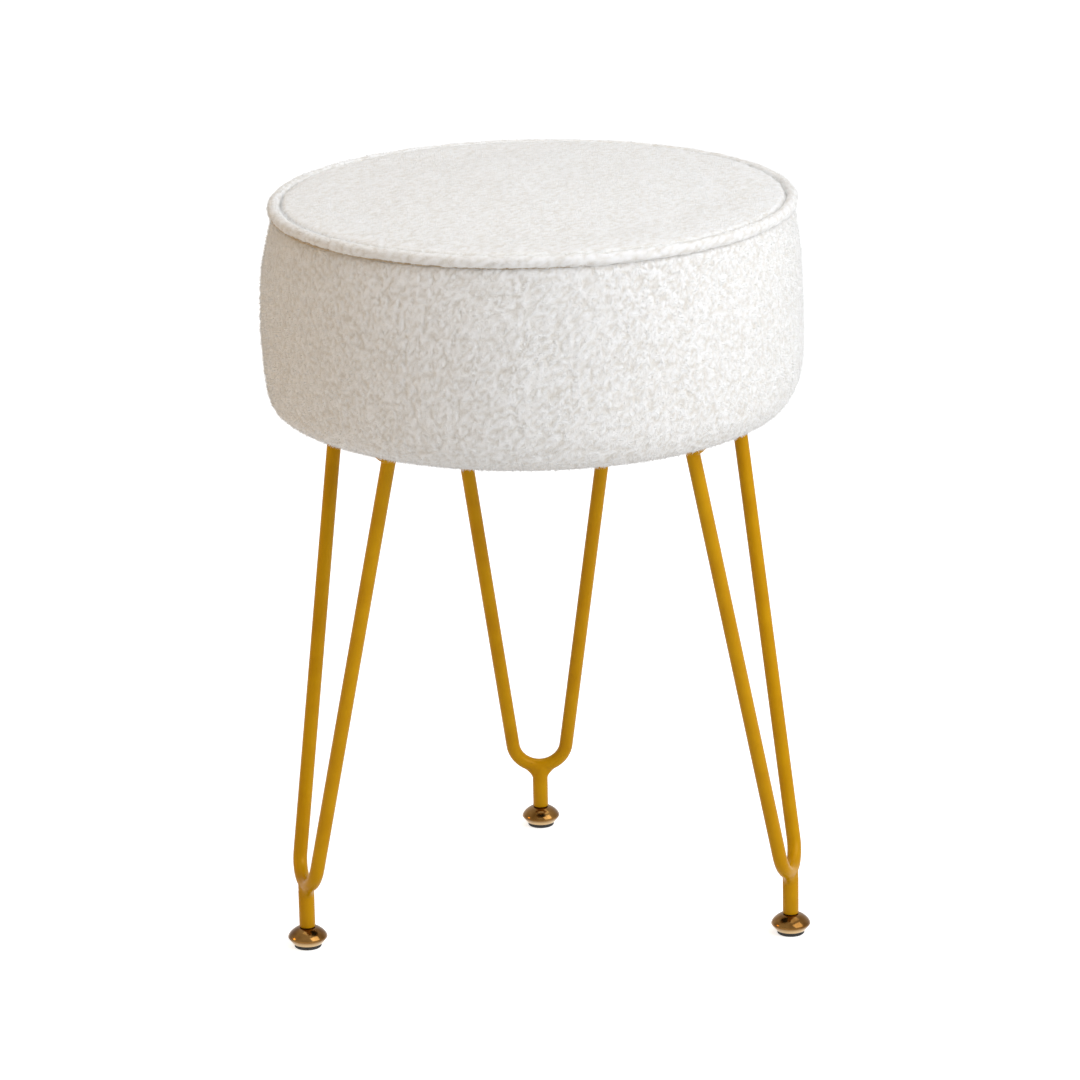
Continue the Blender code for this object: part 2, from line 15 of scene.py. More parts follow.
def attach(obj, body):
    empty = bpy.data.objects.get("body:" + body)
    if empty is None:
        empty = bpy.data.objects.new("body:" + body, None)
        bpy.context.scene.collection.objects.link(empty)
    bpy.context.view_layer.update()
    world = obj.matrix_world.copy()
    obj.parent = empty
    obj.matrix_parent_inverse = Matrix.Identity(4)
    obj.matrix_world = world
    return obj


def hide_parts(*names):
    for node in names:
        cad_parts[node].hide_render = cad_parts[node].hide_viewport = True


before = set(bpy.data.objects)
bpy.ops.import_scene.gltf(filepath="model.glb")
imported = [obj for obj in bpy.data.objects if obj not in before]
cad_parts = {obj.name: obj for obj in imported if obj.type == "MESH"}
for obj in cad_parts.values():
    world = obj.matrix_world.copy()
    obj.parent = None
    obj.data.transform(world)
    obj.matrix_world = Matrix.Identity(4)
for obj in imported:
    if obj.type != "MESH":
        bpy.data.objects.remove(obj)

LOG = logging.getLogger("footstool")

Socket = bpy.types.NodeSocket
Material = bpy.types.Material
Piece = bpy.types.Object
Mesh = bpy.types.Mesh
Rgb = tuple[int, int, int]
Colour = tuple[float, float, float]
Profile = list[tuple[float, float]]
Spots = Sequence[tuple[Vector, float]]

WHITE = (1.0, 1.0, 1.0, 1.0)


class Slot(Enum):
    """Material slots of the record that finishes belong to."""

    FLEECE = "fleece"
    DUST_FABRIC = "dust_fabric"
    GOLD_PAINT = "gold_paint"
    ZINC_STEEL = "zinc_steel"
    BRASS_CAP = "brass_cap"
    RUBBER_PAD = "rubber_pad"


class Side(Enum):
    """The three legs, each with its direction seen from above in degrees."""

    LEFT = ("left", 198.5)
    RIGHT = ("right", 341.5)
    REAR = ("rear", 90.0)

    @property
    def label(self) -> str:
        """Name of the leg as the record spells it."""
        return self.value[0]

    @property
    def azimuth(self) -> float:
        """Direction of the leg in radians."""
        return math.radians(self.value[1])


def srgb(red: int, green: int, blue: int) -> tuple[float, float, float, float]:
    """Turn a display colour into the linear one that shaders take.

    Args:
        red: Red level from 0 to 255.
        green: Green level from 0 to 255.
        blue: Blue level from 0 to 255.

    Returns:
        The linear colour with full opacity.
    """
    linear = []
    for level in (red, green, blue):
        share = level / 255
        linear.append(share / 12.92 if share <= 0.04045 else ((share + 0.055) / 1.055) ** 2.4)
    return (linear[0], linear[1], linear[2], 1.0)


def eased(low: float, high: float, value: float) -> float:
    """Rise smoothly from 0 to 1 between two values.

    Args:
        low: Value where the rise starts.
        high: Value where it ends.
        value: Value to weigh.

    Returns:
        The weight from 0 to 1.
    """
    share = min(max((value - low) / (high - low), 0.0), 1.0)
    return share * share * (3 - 2 * share)


def level_ring(radius: float, height: float, count: int) -> list[tuple[float, float, float]]:
    """A level ring of points round the upright axis.

    Args:
        radius: Its radius.
        height: Its height.
        count: Number of its points.

    Returns:
        Points of the ring.
    """
    turns = [2 * math.pi * k / count for k in range(count)]
    return [(radius * math.cos(turn), radius * math.sin(turn), height) for turn in turns]


def spokes(count: int) -> list[tuple[float, Vector]]:
    """Level directions evenly spread round the axis, each after its angle in radians."""
    turns = [2 * math.pi * k / count for k in range(count)]
    return [(turn, Vector((math.cos(turn), math.sin(turn), 0.0))) for turn in turns]


def upright(out: Vector, angle: float) -> Vector:
    """Direction at an angle above a level direction, in the upright plane through it."""
    return out * math.cos(angle) + Vector((0.0, 0.0, math.sin(angle)))


class NodeSketch:
    """A node tree under construction, for shaders and for geometry alike."""

    def __init__(self, tree: bpy.types.NodeTree) -> None:
        """Keep the tree that nodes are added to."""
        self.tree = tree

    def node(self, kind: str, inputs: dict | None = None, **settings: object) -> bpy.types.Node:
        """Add a node, set its options and fill or link its inputs.

        Args:
            kind: Blender's type name of the node.
            inputs: Values or output sockets by input name or index.
            settings: Options of the node itself.

        Returns:
            The new node.
        """
        made = self.tree.nodes.new(kind)
        for key, value in settings.items():
            setattr(made, key, value)
        for key, value in (inputs or {}).items():
            if isinstance(value, Socket):
                self.tree.links.new(value, made.inputs[key])
            else:
                made.inputs[key].default_value = value
        return made

    def math(self, operation: str, first: object, second: object = 0.0) -> Socket:
        """Add a math node and give back its result."""
        return self.node("ShaderNodeMath", {0: first, 1: second}, operation=operation).outputs[0]


class Surface(NodeSketch):
    """A material whose Principled shader is fed by procedural nodes."""

    def __init__(self, name: str) -> None:
        """Start a material with an empty Principled shader.

        Args:
            name: Name of the material.
        """
        self.material = bpy.data.materials.new(name)
        self.material.use_nodes = True
        super().__init__(self.material.node_tree)
        self.tree.nodes.clear()
        self.shader = self.node("ShaderNodeBsdfPrincipled")
        self.node("ShaderNodeOutputMaterial", {"Surface": self.shader.outputs[0]})
        self.place = self.node("ShaderNodeTexCoord").outputs["Object"]

    def feed(self, **sockets: object) -> None:
        """Fill the shader's inputs, written with underscores for spaces."""
        for key, value in sockets.items():
            socket = self.shader.inputs[key.replace("_", " ")]
            if isinstance(value, Socket):
                self.tree.links.new(value, socket)
            else:
                socket.default_value = value

    def grain(self, scale: float, detail: float = 2.0, stretch: Sequence[float] = (1, 1, 1)) -> Socket:
        """Noise on the piece's own coordinates.

        Args:
            scale: Cells per metre.
            detail: Octaves of finer noise.
            stretch: Factors on the three axes.

        Returns:
            The noise value socket.
        """
        spot = self.node("ShaderNodeMapping", {"Vector": self.place, "Scale": tuple(stretch)})
        made = self.node("ShaderNodeTexNoise", {"Vector": spot.outputs[0], "Scale": scale, "Detail": detail})
        return made.outputs["Fac"]

    def tint(self, share: object, first: Sequence[float], second: object, mode: str = "MIX") -> Socket:
        """Mix two colours.

        Args:
            share: Value or socket that weighs the second colour.
            first: First colour or socket.
            second: Second colour or socket.
            mode: How the two colours are blended.

        Returns:
            The colour socket.
        """
        made = self.node("ShaderNodeMix", {0: share, 6: first, 7: second}, data_type="RGBA", blend_type=mode)
        return made.outputs[2]

    def spread(self, value: object, low: float, high: float, start: float = 0.0, end: float = 1.0) -> Socket:
        """Map a value from one range to another, clamped.

        Args:
            value: Socket to map.
            low: Lower end of the source range.
            high: Upper end of the source range.
            start: Result at the lower end.
            end: Result at the upper end.

        Returns:
            The mapped socket.
        """
        made = self.node("ShaderNodeMapRange", {0: value, 1: low, 2: high, 3: start, 4: end})
        return made.outputs[0]

    def relief(self, height: object, depth: float, strength: float = 1.0) -> None:
        """Give the shader a bump from a height socket, with its depth in metres."""
        bump = self.node("ShaderNodeBump", {"Height": height, "Distance": depth, "Strength": strength})
        self.feed(Normal=bump.outputs[0])


@dataclass(frozen=True)
class FleeceFinish:
    """Wool-like curls with painted shade: darker at the fibres' feet and between curls, paler at the tip,
    and duller at random.
    """

    name: str
    root: Rgb = (239, 236, 231)
    tip: Rgb = (253, 253, 253)
    dull: Rgb = (243, 241, 236)

    def material(self) -> Material:
        """Build the material from the curls' own lift and tone values.

        Returns:
            The finished material.
        """
        made = Surface(self.name)
        lift = made.node("ShaderNodeAttribute", attribute_name="lift").outputs["Fac"]
        tone = made.node("ShaderNodeAttribute", attribute_name="tone").outputs["Fac"]
        # Painted shade: each fibre darkens towards its foot, deep in the pile.
        along = made.tint(made.spread(lift, 0.05, 0.42), srgb(*self.root), srgb(*self.tip))
        cloud = made.spread(made.grain(38.0, 3.0), 0.38, 0.68)
        # Painted shade: tone is deeper between curls and also varies at random per fibre; it mixes in the
        # duller colour.
        mixed = made.math("MULTIPLY", made.math("POWER", tone, 1.6), 0.55)
        varied = made.tint(mixed, along, srgb(*self.dull))
        made.feed(Base_Color=made.tint(made.math("MULTIPLY", cloud, 0.22), varied, srgb(*self.dull)))
        made.feed(Roughness=made.spread(made.grain(900.0), 0.3, 0.7, 0.82, 0.98))
        made.feed(Sheen_Weight=0.25, Sheen_Roughness=0.6)
        made.relief(made.grain(5200.0, 3.0), 0.00018, 0.6)
        return made.material


@dataclass(frozen=True)
class BackingFinish:
    """Felted curls of the fleece, with painted shade a little darker in the hollows between them."""

    name: str
    crest: Rgb = (250, 249, 248)
    hollow: Rgb = (222, 216, 207)
    faded: Rgb = (246, 244, 242)
    strand: float = 2600.0

    def material(self) -> Material:
        """Build the material from the curls' own tone and a fine matted strand.

        Returns:
            The finished material.
        """
        made = Surface(self.name)
        tone = made.node("ShaderNodeAttribute", attribute_name="tone").outputs["Fac"]
        strand = made.grain(self.strand, 3.0)
        cloud = made.spread(made.grain(38.0, 3.0), 0.38, 0.68)
        matted = made.math("MULTIPLY", made.spread(strand, 0.5, 0.7), 0.2)
        # Painted shade: tone grows between curls and darkens the colour there; the matted strand adds real
        # fibre texture.
        deep = made.math("ADD", made.math("POWER", tone, 2.6), matted)
        base = made.tint(deep, srgb(*self.crest), srgb(*self.hollow))
        made.feed(Base_Color=made.tint(made.math("MULTIPLY", cloud, 0.2), base, srgb(*self.faded)))
        made.feed(Roughness=made.spread(made.grain(300.0), 0.3, 0.7, 0.85, 1.0))
        made.feed(Sheen_Weight=0.3, Sheen_Roughness=0.6)
        made.relief(strand, 0.0003, 0.6)
        return made.material


@dataclass(frozen=True)
class GoldPaintFinish:
    """Mustard-gold satin lacquer with a faint, slow unevenness."""

    name: str
    colour: Rgb = (197, 144, 6)
    deep: Rgb = (187, 132, 3)

    def material(self) -> Material:
        """Build the lacquer.

        Returns:
            The finished material.
        """
        made = Surface(self.name)
        cloud = made.spread(made.grain(55.0, 4.0), 0.35, 0.7)
        made.feed(Base_Color=made.tint(cloud, srgb(*self.colour), srgb(*self.deep)))
        made.feed(Roughness=made.spread(made.grain(180.0, 3.0), 0.3, 0.7, 0.28, 0.38))
        made.feed(Metallic=0.06, Specular_IOR_Level=0.05, Coat_Weight=0.03, Coat_Roughness=0.2)
        made.relief(made.grain(150.0, 1.0), 0.00003, 0.2)
        return made.material


@dataclass(frozen=True)
class TurnedMetalFinish:
    """Polished cap metal with fine rings from turning, and a painted reflection that lightens its skirt."""

    name: str
    colour: Rgb = (132, 96, 50)
    deep: Rgb = (92, 60, 22)
    worn: Rgb = (205, 176, 130)
    centre: tuple[float, float] = (0.0, 0.0)

    def material(self) -> Material:
        """Build the metal with rings round the cap's own axis.

        Returns:
            The finished material.
        """
        made = Surface(self.name)
        shift = (-self.centre[0], -self.centre[1], 0.0)
        spot = made.node("ShaderNodeMapping", {"Vector": made.place, "Location": shift}).outputs[0]
        rings = made.node(
            "ShaderNodeTexWave",
            {"Vector": spot, "Scale": 900.0, "Distortion": 0.4, "Detail": 1.0},
            wave_type="RINGS",
            rings_direction="Z",
        ).outputs["Fac"]
        cloud = made.spread(made.grain(130.0, 4.0), 0.35, 0.7)
        bronze = made.tint(cloud, srgb(*self.colour), srgb(*self.deep))
        # Painted reflection: the colour lightens low on the cap, over the skirt, where the floor would shine
        # in the metal.
        height = made.node("ShaderNodeSeparateXYZ", {0: made.place}).outputs["Z"]
        reflection_share = made.spread(height, 0.0036, 0.0058, 0.85, 0.0)
        made.feed(Base_Color=made.tint(reflection_share, bronze, srgb(*self.worn)))
        made.feed(Roughness=made.spread(made.grain(700.0, 3.0), 0.3, 0.75, 0.1, 0.2))
        made.feed(Metallic=1.0)
        made.relief(rings, 0.00001, 0.35)
        return made.material


@dataclass(frozen=True)
class ZincFinish:
    """Zinc-plated steel with a mottled, slightly blue grey."""

    name: str
    bright: Rgb = (176, 180, 184)
    grey: Rgb = (138, 143, 150)

    def material(self) -> Material:
        """Build the plating.

        Returns:
            The finished material.
        """
        made = Surface(self.name)
        cells = made.node("ShaderNodeTexVoronoi", {"Vector": made.place, "Scale": 700.0}).outputs["Color"]
        mottle = made.spread(made.grain(240.0, 4.0), 0.3, 0.7)
        plate = made.tint(mottle, srgb(*self.bright), srgb(*self.grey))
        made.feed(Base_Color=made.tint(0.08, plate, cells, "OVERLAY"))
        made.feed(Roughness=made.spread(made.grain(600.0, 3.0), 0.3, 0.7, 0.24, 0.46))
        made.feed(Metallic=1.0)
        made.relief(made.grain(1500.0, 3.0), 0.00006, 0.4)
        return made.material


@dataclass(frozen=True)
class RubberFinish:
    """Black rubber, matt and a little dusty."""

    name: str
    black: Rgb = (26, 25, 24)
    dusty: Rgb = (72, 69, 64)

    def material(self) -> Material:
        """Build the rubber.

        Returns:
            The finished material.
        """
        made = Surface(self.name)
        dust = made.spread(made.grain(190.0, 5.0), 0.45, 0.8)
        share = made.math("MULTIPLY", dust, 0.35)
        made.feed(Base_Color=made.tint(share, srgb(*self.black), srgb(*self.dusty)))
        made.feed(Roughness=made.spread(made.grain(900.0, 3.0), 0.3, 0.7, 0.55, 0.78))
        made.relief(made.grain(2400.0, 2.0), 0.0001, 0.5)
        return made.material


@dataclass(frozen=True)
class PlywoodFinish:
    """Birch plywood, with its plies showing on the edge."""

    name: str
    ply: float = 0.0024
    pale: Rgb = (222, 190, 146)
    brown: Rgb = (190, 150, 103)
    dark: Rgb = (140, 100, 62)

    def material(self) -> Material:
        """Build the wood.

        Returns:
            The finished material.
        """
        made = Surface(self.name)
        height = made.node("ShaderNodeSeparateXYZ", {0: made.place}).outputs["Z"]
        layer = made.math("FRACT", made.math("DIVIDE", height, 2 * self.ply))
        dark_ply = made.math("GREATER_THAN", layer, 0.5)
        grain = made.spread(made.grain(60.0, 5.0, (1.0, 14.0, 3.0)), 0.35, 0.7)
        wood = made.tint(grain, srgb(*self.pale), srgb(*self.brown))
        made.feed(Base_Color=made.tint(made.math("MULTIPLY", dark_ply, 0.35), wood, srgb(*self.dark)))
        made.feed(Roughness=made.spread(grain, 0.0, 1.0, 0.55, 0.75))
        made.relief(grain, 0.0002, 0.5)
        return made.material


@dataclass(frozen=True)
class NonWovenFinish:
    """Black spunbonded cover cloth with a grid of bonded dots."""

    name: str
    pitch: float = 0.0022
    thread: Rgb = (34, 34, 36)
    lit_thread: Rgb = (58, 58, 60)
    dot: Rgb = (22, 22, 24)

    def material(self) -> Material:
        """Build the cloth.

        Returns:
            The finished material.
        """
        made = Surface(self.name)
        dots = made.node(
            "ShaderNodeTexVoronoi",
            {"Vector": made.place, "Scale": 1.0 / self.pitch, "Randomness": 0.12},
        ).outputs["Distance"]
        bond = made.spread(dots, 0.12, 0.34)
        fibre = made.spread(made.grain(2200.0, 4.0), 0.3, 0.7)
        cloth = made.tint(fibre, srgb(*self.thread), srgb(*self.lit_thread))
        made.feed(Base_Color=made.tint(bond, srgb(*self.dot), cloth))
        made.feed(Roughness=made.spread(bond, 0.0, 1.0, 0.55, 0.9))
        made.feed(Sheen_Weight=0.15)
        made.relief(bond, 0.00025, 0.7)
        return made.material


@dataclass(frozen=True)
class SeamFinish:
    """Twisted sewing cord that shows deep in the seam; its brown is partly painted shade for the dark line
    under the welt.
    """

    name: str
    colour: Rgb = (208, 188, 158)
    shade: Rgb = (172, 148, 116)

    def material(self) -> Material:
        """Build the cord.

        Returns:
            The finished material.
        """
        made = Surface(self.name)
        strand = made.spread(made.grain(1400.0, 3.0), 0.35, 0.65)
        made.feed(Base_Color=made.tint(strand, srgb(*self.colour), srgb(*self.shade)))
        made.feed(Roughness=made.spread(strand, 0.0, 1.0, 0.8, 0.95))
        made.relief(strand, 0.0002, 0.6)
        return made.material


@dataclass(frozen=True)
class FinishSet:
    """All finishes of the footstool, built once and shared."""

    side_fleece: Material
    top_fleece: Material
    welt_fleece: Material
    backing: Material
    seam: Material
    gold: Material
    zinc: Material
    rubber: Material
    plywood: Material
    non_woven: Material

    @classmethod
    def mixed(cls) -> "FinishSet":
        """Build every shared finish.

        Returns:
            The set of materials.
        """
        return cls(
            side_fleece=FleeceFinish("fleece_side").material(),
            top_fleece=FleeceFinish("fleece_top", root=(246, 246, 245), dull=(248, 248, 247)).material(),
            welt_fleece=FleeceFinish("fleece_welt", root=(241, 238, 234), dull=(245, 243, 240)).material(),
            backing=BackingFinish("fleece_backing").material(),
            seam=SeamFinish("seam_shade_cord").material(),
            gold=GoldPaintFinish("gold_lacquer").material(),
            zinc=ZincFinish("zinc_plating").material(),
            rubber=RubberFinish("pad_rubber").material(),
            plywood=PlywoodFinish("birch_plywood").material(),
            non_woven=NonWovenFinish("cover_cloth").material(),
        )


class Workshop:
    """Ways to turn points and profiles into meshes, and meshes into pieces."""

    @staticmethod
    def piece(name: str, verts: Sequence, faces: Sequence, finish: Material, smooth: float = 40.0) -> Piece:
        """Make a closed mesh object at the origin.

        Args:
            name: Name of the piece.
            verts: Its points in metres.
            faces: Its faces as rows of point numbers.
            finish: Its material.
            smooth: Largest angle in degrees that is shaded smooth.

        Returns:
            The linked object.
        """
        mesh = bpy.data.meshes.new(name)
        mesh.from_pydata([tuple(v) for v in verts], [], [tuple(f) for f in faces])
        bm = bmesh.new()
        bm.from_mesh(mesh)
        bmesh.ops.remove_doubles(bm, verts=bm.verts, dist=1e-7)
        bmesh.ops.recalc_face_normals(bm, faces=bm.faces)
        bm.to_mesh(mesh)
        bm.free()
        mesh.materials.append(finish)
        mesh.shade_smooth()
        mesh.set_sharp_from_angle(angle=math.radians(smooth))
        return Workshop.linked(name, mesh)

    @staticmethod
    def linked(name: str, mesh: Mesh) -> Piece:
        """Put a mesh into the scene as an object of its own."""
        made = bpy.data.objects.new(name, mesh)
        bpy.context.scene.collection.objects.link(made)
        return made

    @staticmethod
    def loft(rings: Sequence[Sequence], capped: bool = True, looped: bool = False) -> tuple[list, list]:
        """Skin rings that have the same number of points.

        Args:
            rings: Rows of points.
            capped: Whether the two ends are closed.
            looped: Whether the last ring joins the first.

        Returns:
            Points and faces.
        """
        count = len(rings[0])
        verts = [p for ring in rings for p in ring]
        faces = []
        for row in range(len(rings) if looped else len(rings) - 1):
            low = row * count
            high = ((row + 1) % len(rings)) * count
            for k in range(count):
                after = (k + 1) % count
                faces.append((low + k, low + after, high + after, high + k))
        if capped and not looped:
            faces.append(tuple(range(count)))
            faces.append(tuple(range((len(rings) - 1) * count, len(rings) * count)))
        return verts, faces

    @staticmethod
    def spun(profile: Profile, steps: int) -> tuple[list, list]:
        """Turn a profile about Z, with its ends closed on the axis.

        Args:
            profile: Rows of radius and height.
            steps: Steps in one turn.

        Returns:
            Points and faces.
        """
        rings = [level_ring(radius, height, steps) for radius, height in profile]
        closed = profile[0] == profile[-1]
        return Workshop.loft(rings[:-1], looped=True) if closed else Workshop.loft(rings)

    @staticmethod
    def evaluated(made: Piece) -> Mesh:
        """Copy an object's mesh as its modifiers leave it."""
        graph = bpy.context.evaluated_depsgraph_get()
        source = made.evaluated_get(graph)
        return bpy.data.meshes.new_from_object(source, preserve_all_data_layers=True, depsgraph=graph)

    @staticmethod
    def settled(made: Piece) -> None:
        """Apply all modifiers of an object to its mesh."""
        mesh = Workshop.evaluated(made)
        made.modifiers.clear()
        old = made.data
        made.data = mesh
        bpy.data.meshes.remove(old)

    @staticmethod
    def moved(points: Sequence, place: Matrix) -> list[Vector]:
        """Carry points by a matrix."""
        return [place @ Vector(p) for p in points]

    @staticmethod
    def fitted(piece: Piece, body: str, slot: Slot, *nodes: str) -> Piece:
        """Hand a finished piece to the frame and report it.

        Args:
            piece: The finished piece.
            body: Body that it rides on.
            slot: Record slot of its finish; not used.
            nodes: CAD nodes that it stands for.

        Returns:
            The same piece.
        """
        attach(piece, body)
        if nodes:
            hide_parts(*nodes)
        LOG.info("%s: %d faces on %s", piece.name, len(piece.data.polygons), body)
        return piece


class GeometryTree(NodeSketch):
    """A Geometry Nodes tree with named inputs."""

    def __init__(self, name: str, inputs: Sequence[tuple[str, str]]) -> None:
        """Start the tree and its inputs.

        Args:
            name: Name of the tree.
            inputs: Names and socket kinds, after the geometry that comes first.
        """
        super().__init__(bpy.data.node_groups.new(name, "GeometryNodeTree"))
        face = self.tree.interface
        face.new_socket("Ground", in_out="INPUT", socket_type="NodeSocketGeometry")
        for label, kind in inputs:
            face.new_socket(label, in_out="INPUT", socket_type=kind)
        face.new_socket("Result", in_out="OUTPUT", socket_type="NodeSocketGeometry")
        self.source = self.node("NodeGroupInput").outputs

    def finished(self, geometry: Socket) -> None:
        """End the tree: realize, dress, and hand out the result."""
        real = self.node("GeometryNodeRealizeInstances", {0: geometry})
        coat = {"Geometry": real.outputs[0], "Material": self.source["Finish"]}
        dressed = self.node("GeometryNodeSetMaterial", coat)
        self.node("NodeGroupOutput", {0: dressed.outputs[0]})

    def applied(self, ground: Piece, name: str, values: dict[str, object]) -> Piece:
        """Run the tree on a ground object and keep the result as a plain piece.

        Args:
            ground: Object that the tree works on; it is removed afterwards.
            name: Name of the new piece.
            values: Inputs by name.

        Returns:
            The new piece.
        """
        modifier = ground.modifiers.new(name, "NODES")
        modifier.node_group = self.tree
        for item in self.tree.interface.items_tree:
            if item.item_type == "SOCKET" and item.in_out == "INPUT" and item.name in values:
                modifier[item.identifier] = values[item.name]
        mesh = Workshop.evaluated(ground)
        mesh.name = name
        ground.modifiers.clear()
        old = ground.data
        bpy.data.objects.remove(ground)
        bpy.data.meshes.remove(old)
        return Workshop.linked(name, mesh)

    def vector(self, operation: str, first: object, second: object) -> Socket:
        """Add a vector math node, whose second input is a vector or a scale, and give back its vector."""
        key = "Scale" if operation == "SCALE" else 1
        return self.node("ShaderNodeVectorMath", {0: first, key: second}, operation=operation).outputs[0]

    def stored(self, geometry: Socket, name: str, value: Socket) -> Socket:
        """Keep a value on a geometry's points under a name, and give back the geometry."""
        inputs = {"Geometry": geometry, "Name": name, "Value": value}
        kind = "GeometryNodeStoreNamedAttribute"
        return self.node(kind, inputs, data_type="FLOAT", domain="POINT").outputs[0]

    def pushed(self, geometry: Socket, offset: Socket) -> Socket:
        """Move a geometry's points by a vector, shade it smooth, and give it back."""
        moved = self.node("GeometryNodeSetPosition", {"Geometry": geometry, "Offset": offset})
        return self.node("GeometryNodeSetShadeSmooth", {"Geometry": moved.outputs[0]}).outputs[0]

    def wool(self, factor: float, output: str = "Fac") -> Socket:
        """Noise over the cloth, from 0 to 1.

        Args:
            factor: Its fineness against the curls.
            output: Which result of the noise is wanted.

        Returns:
            The noise socket.
        """
        place = self.node("GeometryNodeInputPosition").outputs[0]
        scale = self.math("MULTIPLY", self.source["Curl Scale"], factor)
        made = self.node("ShaderNodeTexNoise", {"Vector": place, "Scale": scale, "Detail": 2.0})
        return made.outputs[output]

    def curl_spot(self) -> Socket:
        """The place on the cloth, bent a little so that curls lose their straight borders."""
        place = self.node("GeometryNodeInputPosition").outputs[0]
        shift = self.math("DIVIDE", 1.1, self.source["Curl Scale"])
        return self.vector("ADD", place, self.vector("SCALE", self.wool(1.7, "Color"), shift))

    def valley(self) -> Socket:
        """How far a place lies from the middle of its curl, from 0 in the middle to 1 between curls.

        Returns:
            The distance socket.
        """
        cells = self.node(
            "ShaderNodeTexVoronoi",
            {"Vector": self.curl_spot(), "Scale": self.source["Curl Scale"], "Smoothness": 0.22},
            feature="SMOOTH_F1",
        )
        return self.math("MINIMUM", self.math("MULTIPLY", cells.outputs["Distance"], 1.35), 1.0)


class PebbleTree(GeometryTree):
    """Rounded curls pushed out of a cloth, flat where the cloth lies against the board."""

    def __init__(self, name: str) -> None:
        """Build the tree.

        Args:
            name: Name of the tree.
        """
        kinds = [
            ("Curl Scale", "NodeSocketFloat"),
            ("Side Relief", "NodeSocketFloat"),
            ("Top Relief", "NodeSocketFloat"),
            ("Board Radius", "NodeSocketFloat"),
            ("Finish", "NodeSocketMaterial"),
        ]
        super().__init__(name, kinds)
        # The tone (distance from a curl's middle) shapes the curls and also drives the painted shade in the
        # backing's hollows.
        toned = self.stored(self.source["Ground"], "tone", self.valley())
        tone = self.node("GeometryNodeInputNamedAttribute", {"Name": "tone"}, data_type="FLOAT").outputs[0]
        dome = self.math("SUBTRACT", 1.0, self.math("MULTIPLY", tone, tone))
        fine = self.math("MULTIPLY", self.math("SUBTRACT", self.wool(5.5), 0.5), 0.55)
        slow = self.math("MULTIPLY", self.math("SUBTRACT", self.wool(0.45), 0.5), 0.9)
        height = self.math("MULTIPLY", self.math("ADD", dome, self.math("ADD", fine, slow)), self.depth())
        normal = self.node("GeometryNodeInputNormal").outputs[0]
        outward = self.node("ShaderNodeVectorMath", {0: normal, "Scale": height}, operation="SCALE")
        self.finished(self.pushed(toned, outward.outputs[0]))

    def depth(self) -> Socket:
        """Relief at a place: less on the top than on the side, none over the board.

        Returns:
            The relief socket in metres.
        """
        place = self.node("GeometryNodeInputPosition").outputs[0]
        flat = self.node("ShaderNodeVectorMath", {0: place, 1: (1.0, 1.0, 0.0)}, operation="MULTIPLY")
        reach = self.node("ShaderNodeVectorMath", {0: flat.outputs[0]}, operation="LENGTH").outputs["Value"]
        normal = self.node("GeometryNodeInputNormal").outputs[0]
        rise = self.node("ShaderNodeSeparateXYZ", {0: normal}).outputs["Z"]
        start = self.source["Board Radius"]
        end = self.math("ADD", start, 0.006)
        free = self.node("ShaderNodeMapRange", {0: reach, 1: start, 2: end, 3: 0.0, 4: 1.0})
        upper = self.node("ShaderNodeMapRange", {0: rise, 1: 0.0, 2: 0.2, 3: 0.0, 4: 1.0})
        share = self.math("MAXIMUM", free.outputs[0], upper.outputs[0])
        size = self.node(
            "ShaderNodeMapRange",
            {0: rise, 1: 0.35, 2: 0.85, 3: self.source["Side Relief"], 4: self.source["Top Relief"]},
        )
        return self.math("MULTIPLY", share, size.outputs[0])


